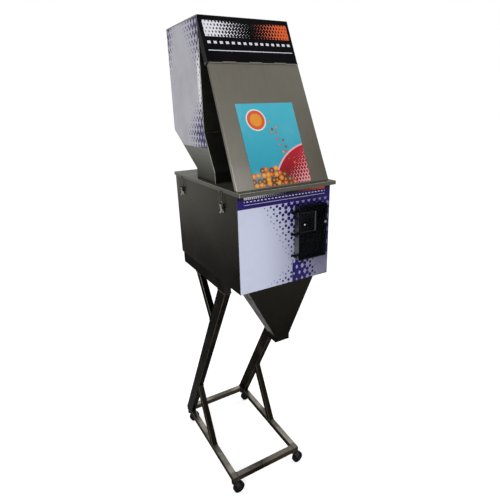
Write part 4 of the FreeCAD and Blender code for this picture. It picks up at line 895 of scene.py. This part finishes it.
def hopper_films():
    """Printed films on both sides of the hopper, down to a little below its bend."""
    front, back, neck_front, neck_back, neck = funnel_corners()
    bend = hopper_low.z
    foot = bend - FILM_BELOW_BEND
    share = FILM_BELOW_BEND / (bend - neck)
    top = hopper_high.z - KNUCKLES_ABOVE
    outline = inset([(hopper_low.y, top), (hopper_high.y - KNUCKLES_BEHIND, top), (back, bend),
                     (back + (neck_back - back) * share, foot),
                     (front + (neck_front - front) * share, foot),
                     (hopper_low.y, bend)], HOPPER_FILM_GAP)
    for side, sign in (("left", -1), ("right", 1)):
        def fill(bm, sign=sign):
            corners = rounded([(sign * hopper_high.x, y, z) for y, z in outline], FILM_CORNER)
            plate(bm, corners, (sign, 0, 0), FILM)
        piece("hopper_film_" + side, fill, "machine", looks["hopper_film"])


def front_film():
    """Printed film over the front panel."""
    left = front_low.x + FRONT_FILM_GAP
    right = front_high.x - FRONT_FILM_GAP
    foot = front_low.z + FRONT_FILM_GAP
    top = front_high.z
    face = front_low.y

    def fill(bm):
        corners = [(left, face, foot), (right, face, foot), (right, face, top), (left, face, top)]
        plate(bm, rounded(corners, FILM_CORNER), (0, -1, 0), FILM)
    piece("front_film", fill, "machine", looks["front_film"])


looks = {
    "side_steel": steel("cabinet_steel", "#181613", "#605F58", (18.0, 14.0, 900.0), shade=side_shade,
                        cloudy=0.18, fold_highlight="#77766E"),
    "cover_steel": steel("cover_steel", "#5A564C", "#8E8C84", (900.0, 16.0, 16.0), shade=cover_shade,
                         cloudy=0.25, rough=(0.30, 0.42)),
    "lid_steel": steel("lid_steel", "#2E2D28", "#75746D", (14.0, 900.0, 900.0), shade=lid_shade,
                       cloudy=0.2, rough=(0.34, 0.48), rim=0.38, fold_highlight="#A09F97", metal=0.72),
    "hopper_steel": steel("hopper_steel", "#24231D", "#85857E", (16.0, 16.0, 900.0), shade=hopper_shade,
                          cloudy=0.12, rough=(0.31, 0.38), fold_highlight="#8F8E86", catch=corner_highlight_mask),
    "inner_steel": steel("inner_steel", "#6E6D66", "#A3A29B", (700.0, 18.0, 700.0)),
    "chute_steel": steel("chute_steel", "#100E0B", "#57554F", (900.0, 900.0, 16.0), shade=chute_shade,
                         cloudy=0.10),
    "tube_steel": steel("tube_steel", "#0F0B07", "#8E8A80", (800.0, 20.0, 40.0), shade=tube_shade,
                        cloudy=0.10, rough=(0.22, 0.38), rim=0.3, fold_highlight="#4E4A41", catch=corner_highlight_mask,
                        warm=tube_brown_reflections),
    "box_steel": steel("box_steel", "#4E4E4D", "#9C9C9A", (900.0, 900.0, 16.0), shade=box_shade,
                       cloudy=0.2, fold_highlight="#A8A8A6"),
    "front_film": front_film_look(),
    "hopper_film": hopper_film_look(),
    "header_film": header_film_look(),
    "picture": picture_look(),
    "rubber": rubber_look(),
    "caster_metal": plastic("caster_coating", "#040406", "#0C0C0F", rough=(0.28, 0.42), level=0.08),
    "black": plastic("black_plastic", "#08080A", "#141416"),
    "key": plastic("key_plastic", "#5C5E62", "#7E8085"),
    "smoked": smoked_look(),
    "chrome": bright_metal("latch_chrome", "#56544C", "#8B8980"),
    "wire": bright_metal("loop_wire", "#34332E", "#5E5C55"),
    "knob": bright_metal("knob_metal", "#6A6A6C", "#9C9C9E"),
    "hinge": hinge_look(),
    "leaf": plastic("hinge_paint", "#0A0A0B", "#161617"),
    "alloy": bright_metal("cell_alloy", "#B9BABD", "#DADBDD", rough=(0.28, 0.4)),
    "casting": plastic("base_paint", "#28323F", "#3B4A5C", pebble=260.0, strength=0.35),
    "blued": bright_metal("blued_spring", "#2A2F3A", "#4A5262", rough=(0.2, 0.34)),
    "screw": bright_metal("screw_steel", "#77746C", "#A5A299", rough=(0.16, 0.3)),
    "weld": weld_look(),
    "lamp": lamp_look(),
    "display": display_look(),
}


# Starts of the CAD nodes' names under the finish that they get
FINISHES = {
    "tube_steel": "foot_ leg_ top_ lower_ upper_",
    "rubber": "caster_wheel",
    "caster_metal": "caster_fork caster_stems",
    "chrome": "latch_base latch_lever",
    "wire": "latch_loop",
    "knob": "door_knob",
    "key": "key_",
    "black": "rail_plugs power_inlet control_plate power_switch",
    "hinge": "door_hinges",
    "smoked": "control_door",
    "alloy": "load_cell",
    "casting": "feeder_base",
    "blued": "feeder_springs",
    "box_steel": "control_box",
    "side_steel": "cabinet_side cabinet_back cabinet_front",
    "lid_steel": "cabinet_lid",
    "cover_steel": "front_cover",
    "chute_steel": "discharge_chute",
    "hopper_steel": "hopper_",
    "header_film": "header_panel",
    "picture": "picture_panel",
    "inner_steel": "flow_gate feeder_tray weigh_bucket bucket_flap cabinet_floor",
}


def dress_nodes():
    """Gives every CAD node its finish."""
    for look, starts in FINISHES.items():
        for name, node in frame["nodes"].items():
            if name.startswith(tuple(starts.split())):
                node.data.materials.clear()
                node.data.materials.append(looks[look])


def screws():
    """Screws of the cabinet's back, the mains inlet and the chute's flange."""
    def fill(bm):
        low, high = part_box("cabinet_back")
        left = low.x + BACK_SCREW_INSET
        right = high.x - BACK_SCREW_INSET
        levels = (low.z + BACK_SCREW_INSET, high.z - BACK_SCREW_DROP)
        places = [(x, z) for x in (left, 0.0, right) for z in levels]
        places += [(x, (low.z + high.z) / 2) for x in (left, right)]
        for x, z in places:
            socket_screw(bm, (x, high.y, z), (0, 1, 0))
        low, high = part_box("power_inlet")
        for x in (low.x + INLET_SCREW_INSET, high.x - INLET_SCREW_INSET):
            socket_screw(bm, (x, high.y, (low.z + high.z) / 2), (0, 1, 0),
                         radius=1.8 * MM, height=SMALL_SCREW_HEIGHT)
        low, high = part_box("discharge_chute")
        for y in (low.y + CHUTE_SCREW_INSET, high.y - CHUTE_SCREW_INSET):
            for x in CHUTE_SCREWS_ACROSS:
                socket_screw(bm, (x, y, high.z - SHEET), (0, 0, -1), radius=2.6 * MM)
    piece("panel_screws", fill, "machine", looks["screw"])


def latch_rivets():
    """Two domed blind rivets in each latch base, above and below the ears."""
    def fill(bm):
        low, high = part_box("latch_bases")
        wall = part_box("cabinet_side_left")[0].x
        for row in ("front", "rear"):
            lever_low, lever_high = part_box("latch_lever_" + row + "_left")
            y = (lever_low.y + lever_high.y) / 2
            for sign in (-1, 1):
                for z in (low.z + RIVET_ABOVE_FOOT, high.z - RIVET_BELOW_TOP):
                    place = (sign * (abs(wall) + SHEET), y, z)
                    lathe(bm, RIVET_HEAD, RIVET_RADIUS, RIVET_RADIUS, place, (sign, 0, 0), segments=16)
    piece("latch_rivets", fill, "machine", looks["screw"], smooth=True)


def controller_parts():
    """Display glass, indicator and hinge screws of the control box."""
    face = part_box("control_plate")[0].y + DISPLAY_RIM
    low, high = display_corners()

    def glass(bm):
        corners = [(low.x, face, low.z), (high.x, face, low.z), (high.x, face, high.z), (low.x, face, high.z)]
        plate(bm, rounded(corners, 1.0 * MM), (0, -1, 0), GLASS, bevel=0.2 * MM)
    piece("display_window", glass, "machine", looks["display"])

    def lamp(bm):
        lathe(bm, LAMP, MM, MM, (low.x + LAMP_ACROSS, face - GLASS, low.z + LAMP_UP), (0, -1, 0))
    piece("indicator_lamp", lamp, "machine", looks["lamp"], smooth=True)
    hinge_low, hinge_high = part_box("door_hinges")
    across = hinge_low.x + LEAF_SCREW_ACROSS
    leaf_face = control_high.y - LEAF_FACE
    levels = [hinge_high.z - HINGE_END - k * (hinge_high.z - hinge_low.z - HINGE_ENDS) / 2 for k in range(3)]

    def fixings(bm):
        for z in levels:
            socket_screw(bm, (across, leaf_face, z), (0, -1, 0), radius=1.7 * MM, height=SMALL_SCREW_HEIGHT)
    piece("hinge_screws", fixings, "machine", looks["leaf"])


def caster_bolts():
    """Hexagon nuts on both ends of the wheels' axles."""
    for corner in ("front_left", "front_right", "rear_left", "rear_right"):
        low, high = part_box("caster_wheel_" + corner)
        middle = (low + high) / 2
        axis = next(Vector(j["axis"]) for j in frame["joints"] if j["name"] == "spin_" + corner)

        def fill(bm, middle=middle, axis=axis):
            for sign in (-1, 1):
                hex_nut(bm, middle + axis * sign * AXLE_REACH, axis * sign, AXLE_NUT_RADIUS, AXLE_NUT_HEIGHT)
        piece("axle_nuts_" + corner, fill, "fork_" + corner, looks["caster_metal"])


def gate_nuts():
    """Wing nuts that clamp the flow gate on its two studs."""
    low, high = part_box("flow_gate")
    level = high.z - GATE_NUT_DROP

    def fill(bm):
        for x in (low.x * GATE_NUT_SHARE, high.x * GATE_NUT_SHARE):
            hex_nut(bm, (x, high.y - SHEET - GATE_NUT_GAP, level), (0, -1, 0), 4.6 * MM, 4.0 * MM)
            for sign in (-1, 1):
                rod_between(bm, (x + sign * 4 * MM, high.y - 4 * MM, level),
                            (x + sign * 11 * MM, high.y - 8.5 * MM, level + 3 * MM), 1.5 * MM)
    piece("gate_wing_nuts", fill, "machine", looks["screw"])


def inner_bolts():
    """Nuts of the load cell's bracket and bolts of the feeder's base plate."""
    def fill(bm):
        low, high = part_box("load_cell")
        middle = (low + high) / 2
        for dz in (-CELL_BOLT_UP, CELL_BOLT_UP):
            for dy in (-CELL_BOLT_ACROSS, CELL_BOLT_ACROSS):
                place = (high.x - CELL_BOLT_INSET, middle.y + dy, middle.z + dz)
                hex_nut(bm, place, (-1, 0, 0), 4.0 * MM, 3.0 * MM)
        low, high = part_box("feeder_base")
        in_x, in_y = BASE_BOLT_INSET
        for x in (low.x + in_x, high.x - in_x):
            for y in (low.y + in_y, high.y - in_y):
                socket_screw(bm, (x, y, base_plate_top()), (0, 0, 1), radius=4 * MM, height=3 * MM)
    piece("inner_bolts", fill, "machine", looks["screw"])


def base_plate_top():
    """Height of the top of the feeder's base plate."""
    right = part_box("feeder_base")[1].x
    return max(p.z for p in corners_of("feeder_base") if abs(p.x - right) < 0.5 * MM)


def seen_directly(tree):
    """1 for camera, glossy and transmission rays, 0 for the rays that light a surface."""
    path = tree.nodes.new("ShaderNodeLightPath").outputs
    seen = path["Is Camera Ray"]
    for name in ("Is Glossy Ray", "Is Transmission Ray"):
        most = tree.nodes.new("ShaderNodeMath")
        most.operation = "MAXIMUM"
        tree.links.new(seen, most.inputs[0])
        tree.links.new(path[name], most.inputs[1])
        seen = most.outputs[0]
    return seen


def set_floor():
    """Pale floor that keeps the object's shadow and shows white."""
    size = FLOOR_HALF
    mesh = bpy.data.meshes.new("floor")
    corners = [(-size, -size, 0), (size, -size, 0), (size, size, 0), (-size, size, 0)]
    mesh.from_pydata(corners, [], [(0, 1, 2, 3)])
    floor = bpy.data.objects.new("floor", mesh)
    bpy.context.scene.collection.objects.link(floor)
    g = Graph("floor_white")
    g.set(Base_Color=FLOOR_COLOUR, Roughness=0.9, Specular_IOR_Level=0.0, Emission_Color=WHITE,
          Emission_Strength=g.times(seen_directly(g.tree), FLOOR_LIFT))
    mesh.materials.append(g.material)


def set_world():
    """White world, at full level where it is seen and a lower one where it lights surfaces."""
    world = bpy.data.worlds.new("studio")
    bpy.context.scene.world = world
    world.use_nodes = True
    tree = world.node_tree
    back = tree.nodes["Background"]
    level = tree.nodes.new("ShaderNodeMapRange")
    level.inputs["To Min"].default_value = WORLD_LEVEL
    tree.links.new(seen_directly(tree), level.inputs["Value"])
    tree.links.new(level.outputs[0], back.inputs["Strength"])
    back.inputs["Color"].default_value = WHITE


def add_light(name, place, target, size, power):
    """Square soft light that faces a target."""
    data = bpy.data.lights.new(name, "AREA")
    data.shape = "SQUARE"
    data.size = size
    data.energy = power
    lamp = bpy.data.objects.new(name, data)
    lamp.location = place
    lamp.rotation_euler = (Vector(target) - Vector(place)).to_track_quat("-Z", "Y").to_euler()
    bpy.context.scene.collection.objects.link(lamp)


def set_lights():
    """Soft key from the left and the front, and a weaker top light."""
    add_light("key", place=(-2.4, -2.6, 2.6), target=(0.0, 0.0, 1.1), size=1.8, power=62.0)
    add_light("top", place=(0.4, 0.2, 3.8), target=(0.0, 0.0, 1.0), size=1.6, power=26.0)


def set_camera():
    """Camera at the photograph's place and angle."""
    yaw, pitch, roll = (math.radians(a) for a in (CAMERA_YAW, CAMERA_PITCH, CAMERA_ROLL))
    forward = Vector((-math.sin(yaw) * math.cos(pitch), math.cos(yaw) * math.cos(pitch), -math.sin(pitch)))
    right = forward.cross(Vector((0, 0, 1))).normalized()
    up = right.cross(forward)
    turned_right = right * math.cos(roll) + up * math.sin(roll)
    turned_up = up * math.cos(roll) - right * math.sin(roll)
    data = bpy.data.cameras.new("camera")
    data.sensor_width = SENSOR_WIDTH
    data.lens = SENSOR_WIDTH * FOCAL_PIXELS / FRAME_PIXELS
    data.clip_start = CLIP_START
    data.clip_end = CLIP_END
    camera = bpy.data.objects.new("camera", data)
    basis = Matrix((turned_right, turned_up, -forward)).transposed()
    place = Vector((-CAMERA_LEFT, front_low.y - CAMERA_AHEAD, CAMERA_HEIGHT))
    camera.matrix_world = Matrix.Translation(place) @ basis.to_4x4()
    bpy.context.scene.collection.objects.link(camera)
    bpy.context.scene.camera = camera
    bpy.context.scene.view_settings.view_transform = "Standard"


dress_nodes()
hopper_films()
front_film()
stand_welds()
hopper_seams()
screws()
latch_rivets()
controller_parts()
caster_bolts()
gate_nuts()
inner_bolts()
set_floor()
set_world()
set_lights()
set_camera()
